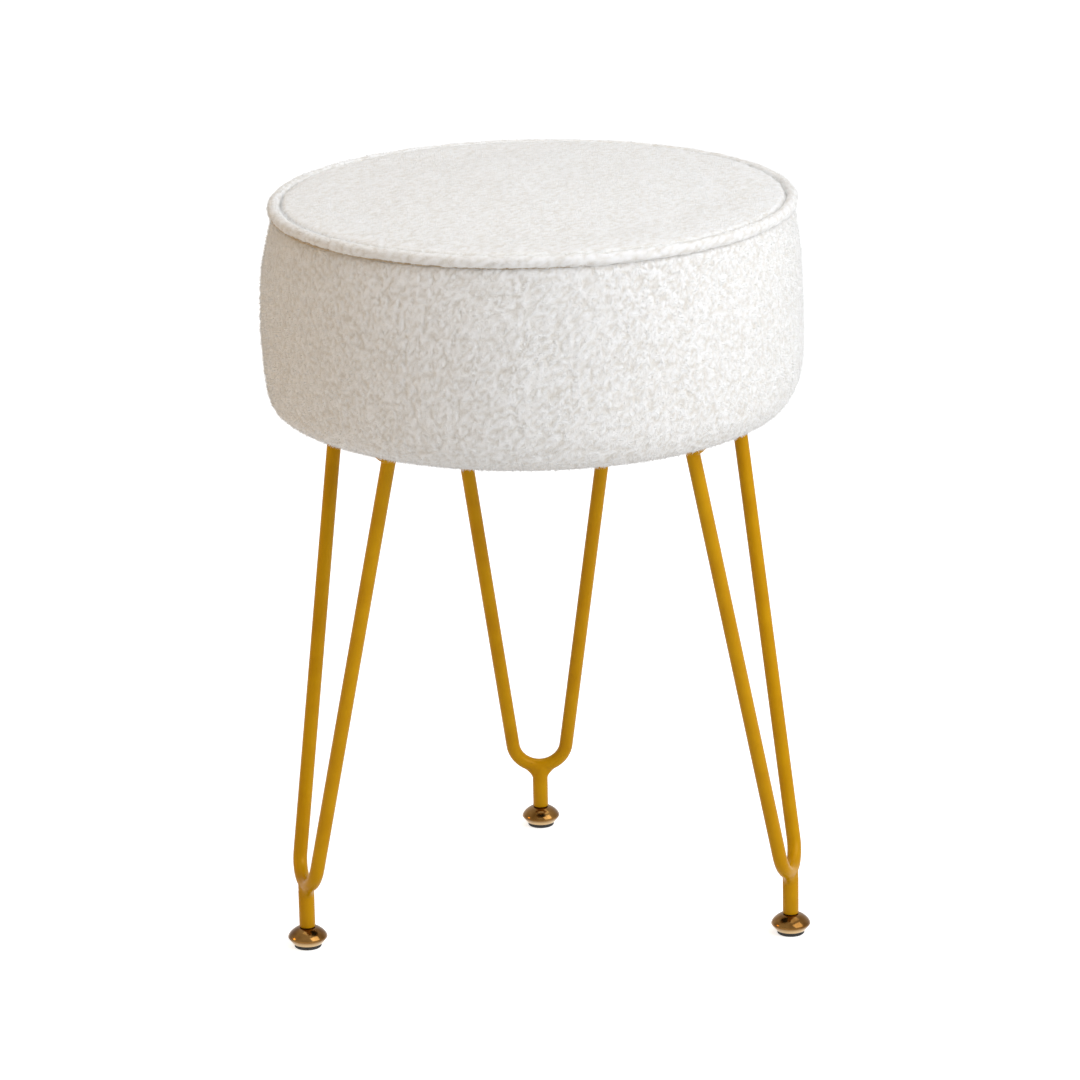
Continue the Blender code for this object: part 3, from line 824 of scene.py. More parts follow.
class PileTree(GeometryTree):
    """Short tapered fibres that lean together in curls all over a cloth."""

    BENDS = ((0.15, 1.0), (0.45, 0.9), (0.75, 0.95), (-0.35, 1.1))

    def __init__(self, name: str) -> None:
        """Build the tree.

        Args:
            name: Name of the tree.
        """
        kinds = [
            ("Spacing", "NodeSocketFloat"),
            ("Fibre Radius", "NodeSocketFloat"),
            ("Fibre Length", "NodeSocketFloat"),
            ("Bends", "NodeSocketInt"),
            ("Lean", "NodeSocketFloat"),
            ("Curl Scale", "NodeSocketFloat"),
            ("Seed", "NodeSocketInt"),
            ("Finish", "NodeSocketMaterial"),
        ]
        super().__init__(name, kinds)
        scatter = {
            "Mesh": self.source["Ground"],
            "Distance Min": self.source["Spacing"],
            "Density Max": 4.0e6,
            "Seed": self.source["Seed"],
        }
        spots = self.node("GeometryNodeDistributePointsOnFaces", scatter, distribute_method="POISSON")
        deep = self.valley()
        # Painted shade: fibres between curls get a deeper tone, plus a random tone per fibre, and the fleece
        # finishes darken by it.
        shade = self.math("ADD", self.math("MULTIPLY", deep, 0.6), self.chance("FLOAT", 0.0, 0.5, 5))
        toned = self.stored(spots.outputs["Points"], "tone", shade)
        joined = self.node("GeometryNodeJoinGeometry")
        for bend, stretch in self.BENDS:
            self.tree.links.new(self.fibre(bend, stretch), joined.inputs[0])
        lean = self.vector("SCALE", self.pull(), self.source["Lean"])
        leaning = self.vector("ADD", spots.outputs["Normal"], lean)
        stand = self.node("FunctionNodeAlignRotationToVector", {"Vector": leaning}, axis="Z")
        spin = self.node("ShaderNodeCombineXYZ", {2: self.chance("FLOAT", 0.0, 2 * math.pi, 1)})
        euler = self.node("FunctionNodeEulerToRotation", {0: spin.outputs[0]})
        turned = self.node(
            "FunctionNodeRotateRotation",
            {0: stand.outputs[0], 1: euler.outputs[0]},
            rotation_space="LOCAL",
        )
        short = self.math("SUBTRACT", 1.2, self.math("MULTIPLY", deep, 0.55))
        placed = self.node(
            "GeometryNodeInstanceOnPoints",
            {
                "Points": toned,
                "Instance": joined.outputs[0],
                "Pick Instance": True,
                "Instance Index": self.chance("INT", 0, len(self.BENDS) - 1, 2),
                "Rotation": turned.outputs[0],
                "Scale": self.math("MULTIPLY", short, self.chance("FLOAT", 0.75, 1.2, 3)),
            },
        )
        self.finished(placed.outputs[0])

    def pull(self) -> Socket:
        """Where a fibre leans: to the middle of its curl, along a slow swirl, and a little by chance.

        Returns:
            The vector socket.
        """
        spot = self.curl_spot()
        cells = self.node("ShaderNodeTexVoronoi", {"Vector": spot, "Scale": self.source["Curl Scale"]})
        inward = self.vector("SUBTRACT", cells.outputs["Position"], spot)
        inward = self.vector("SCALE", inward, self.source["Curl Scale"])
        swirl = self.vector("SCALE", self.vector("SUBTRACT", self.wool(0.6, "Color"), (0.5, 0.5, 0.5)), 4.0)
        stray = self.chance("FLOAT_VECTOR", (-0.45, -0.45, -0.45), (0.45, 0.45, 0.45), 4)
        return self.vector("ADD", inward, self.vector("ADD", swirl, stray))

    def chance(self, kind: str, low: object, high: object, shift: int) -> Socket:
        """A random value for each fibre.

        Args:
            kind: Data type of the value.
            low: Smallest value.
            high: Largest value.
            shift: Added to the seed, so that values stay apart.

        Returns:
            The random value socket.
        """
        first = {"FLOAT_VECTOR": 0, "FLOAT": 2, "INT": 4}[kind]
        output = {"FLOAT_VECTOR": 0, "FLOAT": 1, "INT": 2}[kind]
        seed = self.math("ADD", self.source["Seed"], float(shift))
        span = {first: low, first + 1: high, "Seed": seed}
        return self.node("FunctionNodeRandomValue", span, data_type=kind).outputs[output]

    def fibre(self, bend: float, stretch: float) -> Socket:
        """One tapered fibre with its foot in the cloth.

        Args:
            bend: How far the tip bends aside, in fibre lengths.
            stretch: Its length against the others.

        Returns:
            The fibre as an instance.
        """
        length = self.math("MULTIPLY", self.source["Fibre Length"], stretch)
        spike = self.node(
            "GeometryNodeMeshCone",
            {
                "Vertices": 3,
                "Side Segments": self.source["Bends"],
                "Radius Top": 0.0,
                "Radius Bottom": self.source["Fibre Radius"],
                "Depth": length,
            },
            fill_type="NGON",
        )
        place = self.node("GeometryNodeInputPosition").outputs[0]
        rise = self.node("ShaderNodeSeparateXYZ", {0: place}).outputs["Z"]
        share = self.math("DIVIDE", rise, length)
        lifted = self.stored(spike.outputs["Mesh"], "lift", share)
        aside = self.math("MULTIPLY", self.math("MULTIPLY", self.math("POWER", share, 2.0), bend), length)
        sunk = self.math("MULTIPLY", length, -0.15)
        shift = self.node("ShaderNodeCombineXYZ", {0: aside, 2: sunk})
        bent = self.pushed(lifted, shift.outputs[0])
        return self.node("GeometryNodeGeometryToInstance", {0: bent}).outputs[0]


class PlacedTree(GeometryTree):
    """One small part set on every point of a mesh, turned by the point's own value."""

    def __init__(self, name: str) -> None:
        """Build the tree.

        Args:
            name: Name of the tree.
        """
        super().__init__(name, [("Part", "NodeSocketObject"), ("Finish", "NodeSocketMaterial")])
        source = {"Object": self.source["Part"]}
        part = self.node("GeometryNodeObjectInfo", source, transform_space="ORIGINAL")
        turn = self.node("GeometryNodeInputNamedAttribute", {"Name": "turn"}, data_type="FLOAT").outputs[0]
        yaw = self.node("ShaderNodeCombineXYZ", {2: turn})
        euler = self.node("FunctionNodeEulerToRotation", {0: yaw.outputs[0]})
        placed = self.node(
            "GeometryNodeInstanceOnPoints",
            {
                "Points": self.source["Ground"],
                "Instance": part.outputs["Geometry"],
                "Rotation": euler.outputs[0],
            },
        )
        self.finished(placed.outputs[0])

    def set_out(self, part: Piece, spots: Spots, name: str, finish: Material) -> Piece:
        """Set copies of a part on a row of places.

        Args:
            part: The part at the origin; it is removed afterwards.
            spots: Places and turns about Z in radians.
            name: Name of the new piece.
            finish: Its material.

        Returns:
            All copies as one piece.
        """
        mesh = bpy.data.meshes.new(name + "_spots")
        mesh.from_pydata([tuple(place) for place, _ in spots], [], [])
        mesh.attributes.new("turn", "FLOAT", "POINT").data.foreach_set("value", [turn for _, turn in spots])
        ground = Workshop.linked(name + "_spots", mesh)
        made = self.applied(ground, name, {"Part": part, "Finish": finish})
        old = part.data
        bpy.data.objects.remove(part)
        bpy.data.meshes.remove(old)
        return made


@dataclass
class PileCloth:
    """Sizes of one kind of curly pile, in metres."""

    spacing: float
    radius: float
    length: float
    lean: float
    curl: float
    bends: int = 2

    def values(self, seed: int, finish: Material) -> dict[str, object]:
        """The tree's inputs for this pile.

        Args:
            seed: Seed of its chance values.
            finish: Its material.

        Returns:
            Inputs by name.
        """
        return {
            "Spacing": self.spacing,
            "Fibre Radius": self.radius,
            "Fibre Length": self.length,
            "Bends": self.bends,
            "Lean": self.lean,
            "Curl Scale": self.curl,
            "Seed": seed,
            "Finish": finish,
        }


@dataclass
class SeatCushion:
    """The fleece-covered seat: swollen cushion, welt, seam, hem and pile. Sizes in metres."""

    finishes: FinishSet
    radius: float = 0.150
    seam_radius: float = 0.145
    belly_z: float = 0.350
    band_top_z: float = 0.4136
    underside_z: float = 0.298
    edge_width: float = 0.053
    edge_power: float = 4.0
    belly_power: float = 2.3
    panel_radius: float = 0.1382
    panel_edge_z: float = 0.4191
    crown_height: float = 0.0068
    crown_power: float = 2.2
    board_radius: float = 0.1108
    board_top_z: float = 0.3139
    board_lip_z: float = 0.3012
    turn_under: float = 0.283
    groove: tuple[tuple[float, float], ...] = ((0.0012, 0.0012), (0.0036, 0.0022))
    panel_lift: float = 0.0012
    rim_lift: float = 0.0018
    cloth_gap: float = 0.0003
    held_radius: float = 0.117
    held_z: float = 0.330
    seam_inner: float = 0.1365
    seam_low: float = 0.4118
    lift_marks: int = 28
    seam_spot: tuple[float, float] = (0.1440, 0.4152)
    seam_width: float = 0.0026
    top_edge: float = 0.1385
    top_low: float = 0.4150
    side_high: float = 0.4138
    bare_radius: float = 0.1135
    pile_height: float = 0.0019
    swell: float = 0.0024
    lift_radius: float = 0.130
    slump: float = 0.0028
    voxel: float = 0.0035
    curl_scale: float = 540.0
    side_relief: float = 0.0008
    top_relief: float = 0.00035
    pressure: float = 4.0
    frames: int = 20
    welt_ring: float = 0.1423
    welt_z: float = 0.4170
    welt_radius: float = 0.0030
    welt_curl_scale: float = 420.0
    cord_ring: float = 0.1413
    cord_middle: tuple[float, float, float] = (-0.0024, -0.0004, 0.4139)
    cord_radius: float = 0.0009
    hem_inner: float = 0.097
    hem_outer: float = 0.1145
    side_sectors: int = 6
    top_sectors: int = 3

    def outline(self, swell: float) -> Profile:
        """Section of the cushion from the board's recess round to the top's centre.

        Args:
            swell: How far the top's middle stands back before it swells.

        Returns:
            Rows of radius and height.
        """
        cover: Profile = []
        last = math.acos(self.turn_under ** (self.edge_power / 2))
        for step in range(33):
            angle = last * (1 - step / 32)
            out = math.cos(angle) ** (2 / self.edge_power)
            drop = math.sin(angle) ** (2 / self.edge_power)
            height = self.belly_z - (self.belly_z - self.underside_z) * drop
            cover.append((self.radius - self.edge_width * (1 - out), height))
        for step in range(1, 17):
            share = step / 16
            out = self.radius - (self.radius - self.seam_radius) * share**self.belly_power
            cover.append((out, self.belly_z + (self.band_top_z - self.belly_z) * share))
        for back, lift in self.groove:
            cover.append((self.seam_radius - back, self.band_top_z + lift))
        cover.append((self.panel_radius + 0.0016, self.panel_edge_z - 0.0004))
        for step in range(25):
            share = 1 - step / 24
            height = self.panel_edge_z + self.crown_height * (1 - share**self.crown_power)
            cover.append((self.panel_radius * share, height))
        section: Profile = [(0.0, self.board_top_z), (self.board_radius, self.board_top_z)]
        section.append((self.board_radius, self.board_lip_z))
        for k, (out, height) in enumerate(cover):
            before = Vector(cover[max(k - 1, 0)])
            after = Vector(cover[min(k + 1, len(cover) - 1)])
            along = (after - before).normalized()
            full = eased(self.underside_z, self.underside_z + 0.014, height)
            depth = self.pile_height * full + self.cloth_gap
            if height >= self.panel_edge_z - 1e-6:
                depth += swell * max(1 - (out / self.lift_radius) ** 2, 0.0) - self.panel_lift
                depth -= self.rim_lift * eased(0.100, 0.130, out) * (1 - eased(0.1385, 0.1405, out))
            section.append((max(out - along.y * depth, 0.0), height + along.x * depth))
        section[-1] = (0.0, section[-1][1])
        return section

    def build(self) -> Piece:
        """Swell the cushion in a cloth simulation and hand it over.

        Returns:
            The finished cushion.
        """
        verts, faces = Workshop.spun(self.outline(self.swell), 180)
        made = Workshop.piece("seat_cushion", verts, faces, self.finishes.backing, 180.0)
        remesh = made.modifiers.new("even", "REMESH")
        remesh.mode = "VOXEL"
        remesh.voxel_size = self.voxel
        Workshop.settled(made)
        self.inflate(made)
        finer = made.modifiers.new("finer", "SUBSURF")
        finer.levels = 1
        finer.render_levels = 1
        Workshop.settled(made)
        self.shape(made.data)
        made.name = "cushion_base"
        made = PebbleTree("seat_pebbles").applied(made, "seat_cushion", self.curls())
        return Workshop.fitted(made, "stool", Slot.FLEECE, "seat_side_band", "seat_top_panel", "seat_foam")

    def curls(self) -> dict[str, object]:
        """Inputs of the tree that curls the cushion's cloth."""
        return {
            "Curl Scale": self.curl_scale,
            "Side Relief": self.side_relief,
            "Top Relief": self.top_relief,
            "Board Radius": self.board_radius + 0.003,
            "Finish": self.finishes.backing,
        }

    def inflate(self, made: Piece) -> None:
        """Blow the cushion up against its own cloth, held at the seam and the board.

        Args:
            made: The cushion, whose mesh is moved.
        """
        start = np.empty(len(made.data.vertices) * 3, np.float32)
        made.data.vertices.foreach_get("co", start)
        start = start.reshape(-1, 3)
        reach = np.hypot(start[:, 0], start[:, 1])
        held = (reach < self.held_radius) & (start[:, 2] < self.held_z)
        held |= (reach > self.seam_inner) & (start[:, 2] > self.seam_low)
        pins = made.vertex_groups.new(name="held")
        pins.add([int(k) for k in np.flatnonzero(held)], 1.0, "REPLACE")
        cloth = made.modifiers.new("swell", "CLOTH")
        cloth.settings.quality = 4
        cloth.settings.mass = 0.3
        cloth.settings.use_pressure = True
        cloth.settings.uniform_pressure_force = self.pressure
        cloth.settings.effector_weights.gravity = 0.0
        cloth.settings.vertex_group_mass = "held"
        cloth.point_cache.frame_start = 1
        cloth.point_cache.frame_end = self.frames
        scene = bpy.context.scene
        for step in range(1, self.frames + 1):
            scene.frame_set(step)
        Workshop.settled(made)
        made.vertex_groups.clear()
        scene.frame_set(1)
        moved = np.empty(len(made.data.vertices) * 3, np.float32)
        made.data.vertices.foreach_get("co", moved)
        shift = moved.reshape(-1, 3) - start
        shift[:, 2] = np.maximum(shift[:, 2], -0.0002)
        length = np.linalg.norm(shift, axis=1, keepdims=True)
        shift *= np.minimum(1.0, self.swell / np.maximum(length, 1e-9))
        top = (start[:, 2] > self.seam_low) & ~held
        size = self.lift_marks
        marks = np.linspace(0.0, self.seam_inner, size)
        nearest = np.rint(reach[top] / marks[1]).astype(int)
        count = np.bincount(nearest, minlength=size + 1)[:size]
        mean = np.bincount(nearest, shift[top, 2], size + 1)[:size] / np.maximum(count, 1)
        crown = self.swell * np.maximum(1 - (reach[top] / self.lift_radius) ** 2, 0.0)
        shift[top, 2] += crown - np.interp(reach[top], marks, mean)
        made.data.vertices.foreach_set("co", (start + shift).ravel())

    def shape(self, mesh: Mesh) -> None:
        """Sew the seam in under the welt and leave the stuffing a little uneven.

        Args:
            mesh: The cushion's mesh.
        """
        for vertex in mesh.vertices:
            place = vertex.co
            reach = math.hypot(place.x, place.y)
            if reach < 0.118 and place.z < 0.335:
                continue
            out = Vector((place.x, place.y, 0.0)).normalized()
            lump = noise.noise(place * 21.0) * 0.0007
            lump += noise.noise(place * 47.0 + Vector((3.0, 1.0, 7.0))) * 0.0004
            side = eased(0.2985, 0.309, place.z) * (1 - eased(0.380, 0.412, place.z))
            top = 1 - eased(0.128, 0.138, reach)
            if place.z > 0.412:
                vertex.co.z += lump * top * 0.8
            else:
                sag = self.slump * (2.0 - eased(0.303, 0.324, place.z))
                vertex.co += out * (lump + sag * max(-out.x, 0.0)) * side
            gap = math.hypot(reach - self.seam_spot[0], place.z - self.seam_spot[1])
            tuck = max(0.0003 - 0.0015 * out.x, 0.0)
            vertex.co -= out * tuck * math.exp(-((gap / self.seam_width) ** 2))

    def ground(self, cushion: Piece, name: str, keep: Sequence[int]) -> Piece:
        """Copy some faces of the cushion as a ground for pile.

        Args:
            cushion: The finished cushion.
            name: Name of the copy.
            keep: Numbers of the faces to copy.

        Returns:
            The copy.
        """
        chosen = set(keep)
        bm = bmesh.new()
        bm.from_mesh(cushion.data)
        bmesh.ops.delete(bm, geom=[f for f in bm.faces if f.index not in chosen], context="FACES")
        mesh = bpy.data.meshes.new(name)
        bm.to_mesh(mesh)
        bm.free()
        return Workshop.linked(name, mesh)

    def sectors(self, cushion: Piece, top: bool) -> list[list[int]]:
        """Sort the cushion's faces into sectors of the side or of the top.

        Args:
            cushion: The finished cushion.
            top: Whether the top is wanted instead of the side.

        Returns:
            Face numbers of each sector.
        """
        count = self.top_sectors if top else self.side_sectors
        rows: list[list[int]] = [[] for _ in range(count)]
        for face in cushion.data.polygons:
            place = face.center
            reach = math.hypot(place.x, place.y)
            on_top = reach < self.top_edge and place.z > self.top_low and face.normal.z > 0.3
            on_side = place.z < self.side_high and not (reach < self.bare_radius and place.z < self.held_z)
            if on_top if top else on_side and not on_top:
                turn = (math.atan2(place.y, place.x) + math.pi) / (2 * math.pi)
                rows[min(int(turn * count), count - 1)].append(face.index)
        return rows

    def dress(self, cushion: Piece) -> None:
        """Grow the pile on side and top, sector by sector.

        Args:
            cushion: The finished cushion.
        """
        curl = self.curl_scale
        side = PileCloth(spacing=0.0009, radius=0.0002, length=0.0021, lean=1.2, curl=curl)
        top = PileCloth(spacing=0.0009, radius=0.00017, length=0.0014, lean=1.0, curl=curl, bends=1)
        for on_top, cloth, finish, label in (
            (False, side, self.finishes.side_fleece, "side_pile"),
            (True, top, self.finishes.top_fleece, "top_pile"),
        ):
            tree = PileTree(label + "_curls")
            for k, rows in enumerate(self.sectors(cushion, on_top)):
                name = f"{label}_{k + 1}"
                ground = self.ground(cushion, name + "_ground", rows)
                made = tree.applied(ground, name, cloth.values(11 + 7 * k, finish))
                Workshop.fitted(made, "stool", Slot.FLEECE)

    def build_welt(self) -> None:
        """Roll the welt and grow its pile."""
        rings = []
        for _, out in spokes(420):
            spot = out * 6.0
            swell = 1 + 0.07 * noise.noise(spot * 2.2) + 0.05 * noise.noise(spot * 6.0)
            lift = 0.0004 * noise.noise(spot * 1.3 + Vector((5.0, 2.0, 1.0)))
            centre = out * self.welt_ring + Vector((0.0, 0.0, self.welt_z + lift))
            ring = []
            for j in range(18):
                angle = 2 * math.pi * j / 18
                ring.append(centre + upright(out, angle) * self.welt_radius * swell)
            rings.append(ring)
        verts, faces = Workshop.loft(rings, looped=True)
        base = Workshop.piece("welt_base", verts, faces, self.finishes.backing, 180.0)
        curls = {
            "Curl Scale": self.welt_curl_scale,
            "Side Relief": 0.0006,
            "Top Relief": 0.0004,
            "Board Radius": 0.0,
            "Finish": self.finishes.backing,
        }
        roll = PebbleTree("welt_pebbles").applied(base, "welt_roll", curls)
        cloth = PileCloth(spacing=0.001, radius=0.0002, length=0.0018, lean=0.9, curl=self.curl_scale)
        shown = []
        for face in roll.data.polygons:
            if face.normal.z > -0.75 or face.normal.to_2d().dot(face.center.to_2d()) > 0:
                shown.append(face.index)
        ground = self.ground(roll, "welt_ground", shown)
        Workshop.fitted(roll, "stool", Slot.FLEECE, "seat_welt")
        values = cloth.values(91, self.finishes.welt_fleece)
        pile = PileTree("welt_pile_curls").applied(ground, "welt_pile", values)
        Workshop.fitted(pile, "stool", Slot.FLEECE)

    def build_seam_cord(self) -> None:
        """Twist the seam's cord and lay it under the welt, where its brown paints the shade line."""
        rings = []
        for k, (_, out) in enumerate(spokes(360)):
            # Painted shade: the cord is set off-centre towards the left and front, so its brown line shows
            # there and sinks in at the right.
            centre = out * self.cord_ring + Vector(self.cord_middle)
            ring = []
            for j in range(8):
                angle = 2 * math.pi * (j / 8 + k / 9)
                reach = self.cord_radius * (1 + 0.16 * math.cos(2 * math.pi * (2 * j / 8)))
                ring.append(centre + upright(out, angle) * reach)
            rings.append(ring)
        verts, faces = Workshop.loft(rings, looped=True)
        cord = Workshop.piece("welt_seam_cord", verts, faces, self.finishes.seam, 180.0)
        Workshop.fitted(cord, "stool", Slot.FLEECE)

    def build_hem(self) -> None:
        """Turn the cover's edge under the board in small pleats."""
        rings = []
        section = [(self.hem_inner, 0.3009), (self.hem_inner - 0.0006, 0.2996), (self.hem_inner, 0.2983)]
        section += [(0.101, 0.29812), (0.105, 0.2981), (0.109, 0.29815), (0.112, 0.2984)]
        section += [(self.hem_outer, 0.2992), (self.hem_outer, 0.3006), (0.111, 0.3010), (0.104, 0.3010)]
        for turn, out in spokes(320):
            fold = math.sin(44 * turn + 1.6 * noise.noise(out * 5.0)) * 0.5 + 0.5
            ring = []
            for radius, height in section:
                low = 1 - eased(0.2992, 0.3002, height)
                drop = 0.0003 * fold * low * (1 - eased(0.108, 0.1145, radius))
                reach = radius + 0.0006 * noise.noise(out * 9.0)
                ring.append(out * reach + Vector((0.0, 0.0, height - drop)))
            rings.append(ring)
        verts, faces = Workshop.loft(rings, looped=True)
        hem = Workshop.piece("cover_hem", verts, faces, self.finishes.backing, 60.0)
        Workshop.fitted(hem, "stool", Slot.FLEECE)


@dataclass
class Underside:
    """Dust cover, staples, board and tee nuts under the seat. Sizes in metres."""

    finishes: FinishSet
    cover_radius: float = 0.104
    cover_z: float = 0.29735
    cover_thickness: float = 0.0005
    sag: float = 0.0022
    staple_radius: float = 0.0995
    staple_crown: float = 0.0096
    staple_count: int = 60
    leg_clearance: float = 37.0
    wire: float = 0.00045

    @staticmethod
    def clear_of_legs(turn: float) -> float:
        """Angle in degrees from a direction to the nearest leg.

        Args:
            turn: Direction in radians.

        Returns:
            The angle in degrees.
        """
        gaps = [abs((math.degrees(turn - side.azimuth) + 180) % 360 - 180) for side in Side]
        return min(gaps)

    def build(self) -> None:
        """Lay the cover, staple it, and dress the board and the tee nuts."""
        rings = []
        count = 144
        for step in range(1, 31):
            reach = self.cover_radius * step / 30
            rings.append([self.cover_point(reach, 2 * math.pi * k / count) for k in range(count)])
        verts, faces = Workshop.loft(rings, capped=False)
        verts.append(self.cover_point(0.0, 0.0))
        faces += [((k + 1) % count, k, len(verts) - 1) for k in range(count)]
        cover = Workshop.piece("dust_cover_cloth", verts, faces, self.finishes.non_woven, 180.0)
        if cover.data.polygons[0].normal.z > 0:
            cover.data.flip_normals()
        thick = cover.modifiers.new("thickness", "SOLIDIFY")
        thick.thickness = self.cover_thickness
        thick.offset = -1.0
        Workshop.settled(cover)
        Workshop.fitted(cover, "stool", Slot.DUST_FABRIC, "dust_cover")
        self.build_staples()
        for name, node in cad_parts.items():
            if name == "base_board":
                self.redress(node, self.finishes.plywood)
            elif "tee_nut" in name:
                self.redress(node, self.finishes.zinc)

    def cover_point(self, reach: float, turn: float) -> Vector:
        """A point of the cover, with its sag and the puckers at its staples.

        Args:
            reach: Distance from the seat's axis.
            turn: Direction in radians.

        Returns:
            The point.
        """
        free = eased(self.leg_clearance, 48.0, self.clear_of_legs(turn))
        inner = max(1 - (reach / 0.062) ** 2, 0.0) ** 2
        wave = 0.5 + 0.5 * math.cos(self.staple_count * turn)
        pucker = 0.0005 * free * (reach / self.cover_radius) ** 5 * wave
        spot = Vector((reach * math.cos(turn), reach * math.sin(turn), 0.0))
        crease = abs(noise.noise(spot * 55.0)) * 0.0006 * max(inner, free * 0.6)
        return spot + Vector((0.0, 0.0, self.cover_z - self.sag * inner - pucker - crease))

    def build_staples(self) -> None:
        """Drive staples through the cover where no plate lies over it."""
        half = self.staple_crown / 2
        crown_z = -0.0004
        path = [(-half, 0.0011), (-half, 0.0), (-half + 0.0003, crown_z)]
        path += [(-x, z) for x, z in reversed(path)]
        rings = []
        for x, z in path:
            lean = math.copysign(1.0, x)
            ring = []
            for across, along in ((-1, -1), (1, -1), (1, 1), (-1, 1)):
                side = Vector((0.0, across * self.wire, 0.0))
                if z == crown_z:
                    out = Vector((0.0, 0.0, along * self.wire * 0.6))
                elif z == 0.0:
                    out = Vector((-lean * along, 0.0, along)) * self.wire * 0.5
                else:
                    out = Vector((-lean * along * self.wire * 0.6, 0.0, 0.0))
                ring.append(Vector((x, 0.0, z)) + side + out)
            rings.append(ring)
        verts, faces = Workshop.loft(rings)
        part = Workshop.piece("staple", verts, faces, self.finishes.zinc, 50.0)
        spots = []
        for k in range(self.staple_count):
            turn = 2 * math.pi * (k + 0.5) / self.staple_count
            if self.clear_of_legs(turn) < self.leg_clearance:
                continue
            twist = 0.22 * noise.noise(Vector((k * 1.7, 0.3, 0.0)))
            place = self.cover_point(self.staple_radius, turn) + Vector((0.0, 0.0, -0.0002))
            spots.append((place, turn + math.pi / 2 + twist))
        made = PlacedTree("staple_row").set_out(part, spots, "cover_staples", self.finishes.zinc)
        Workshop.fitted(made, "stool", Slot.ZINC_STEEL)

    @staticmethod
    def redress(node: Piece, finish: Material) -> None:
        """Give a kept CAD node a better material."""
        for slot in node.material_slots:
            slot.material = finish
        LOG.info("%s: kept, dressed in %s", node.name, finish.name)


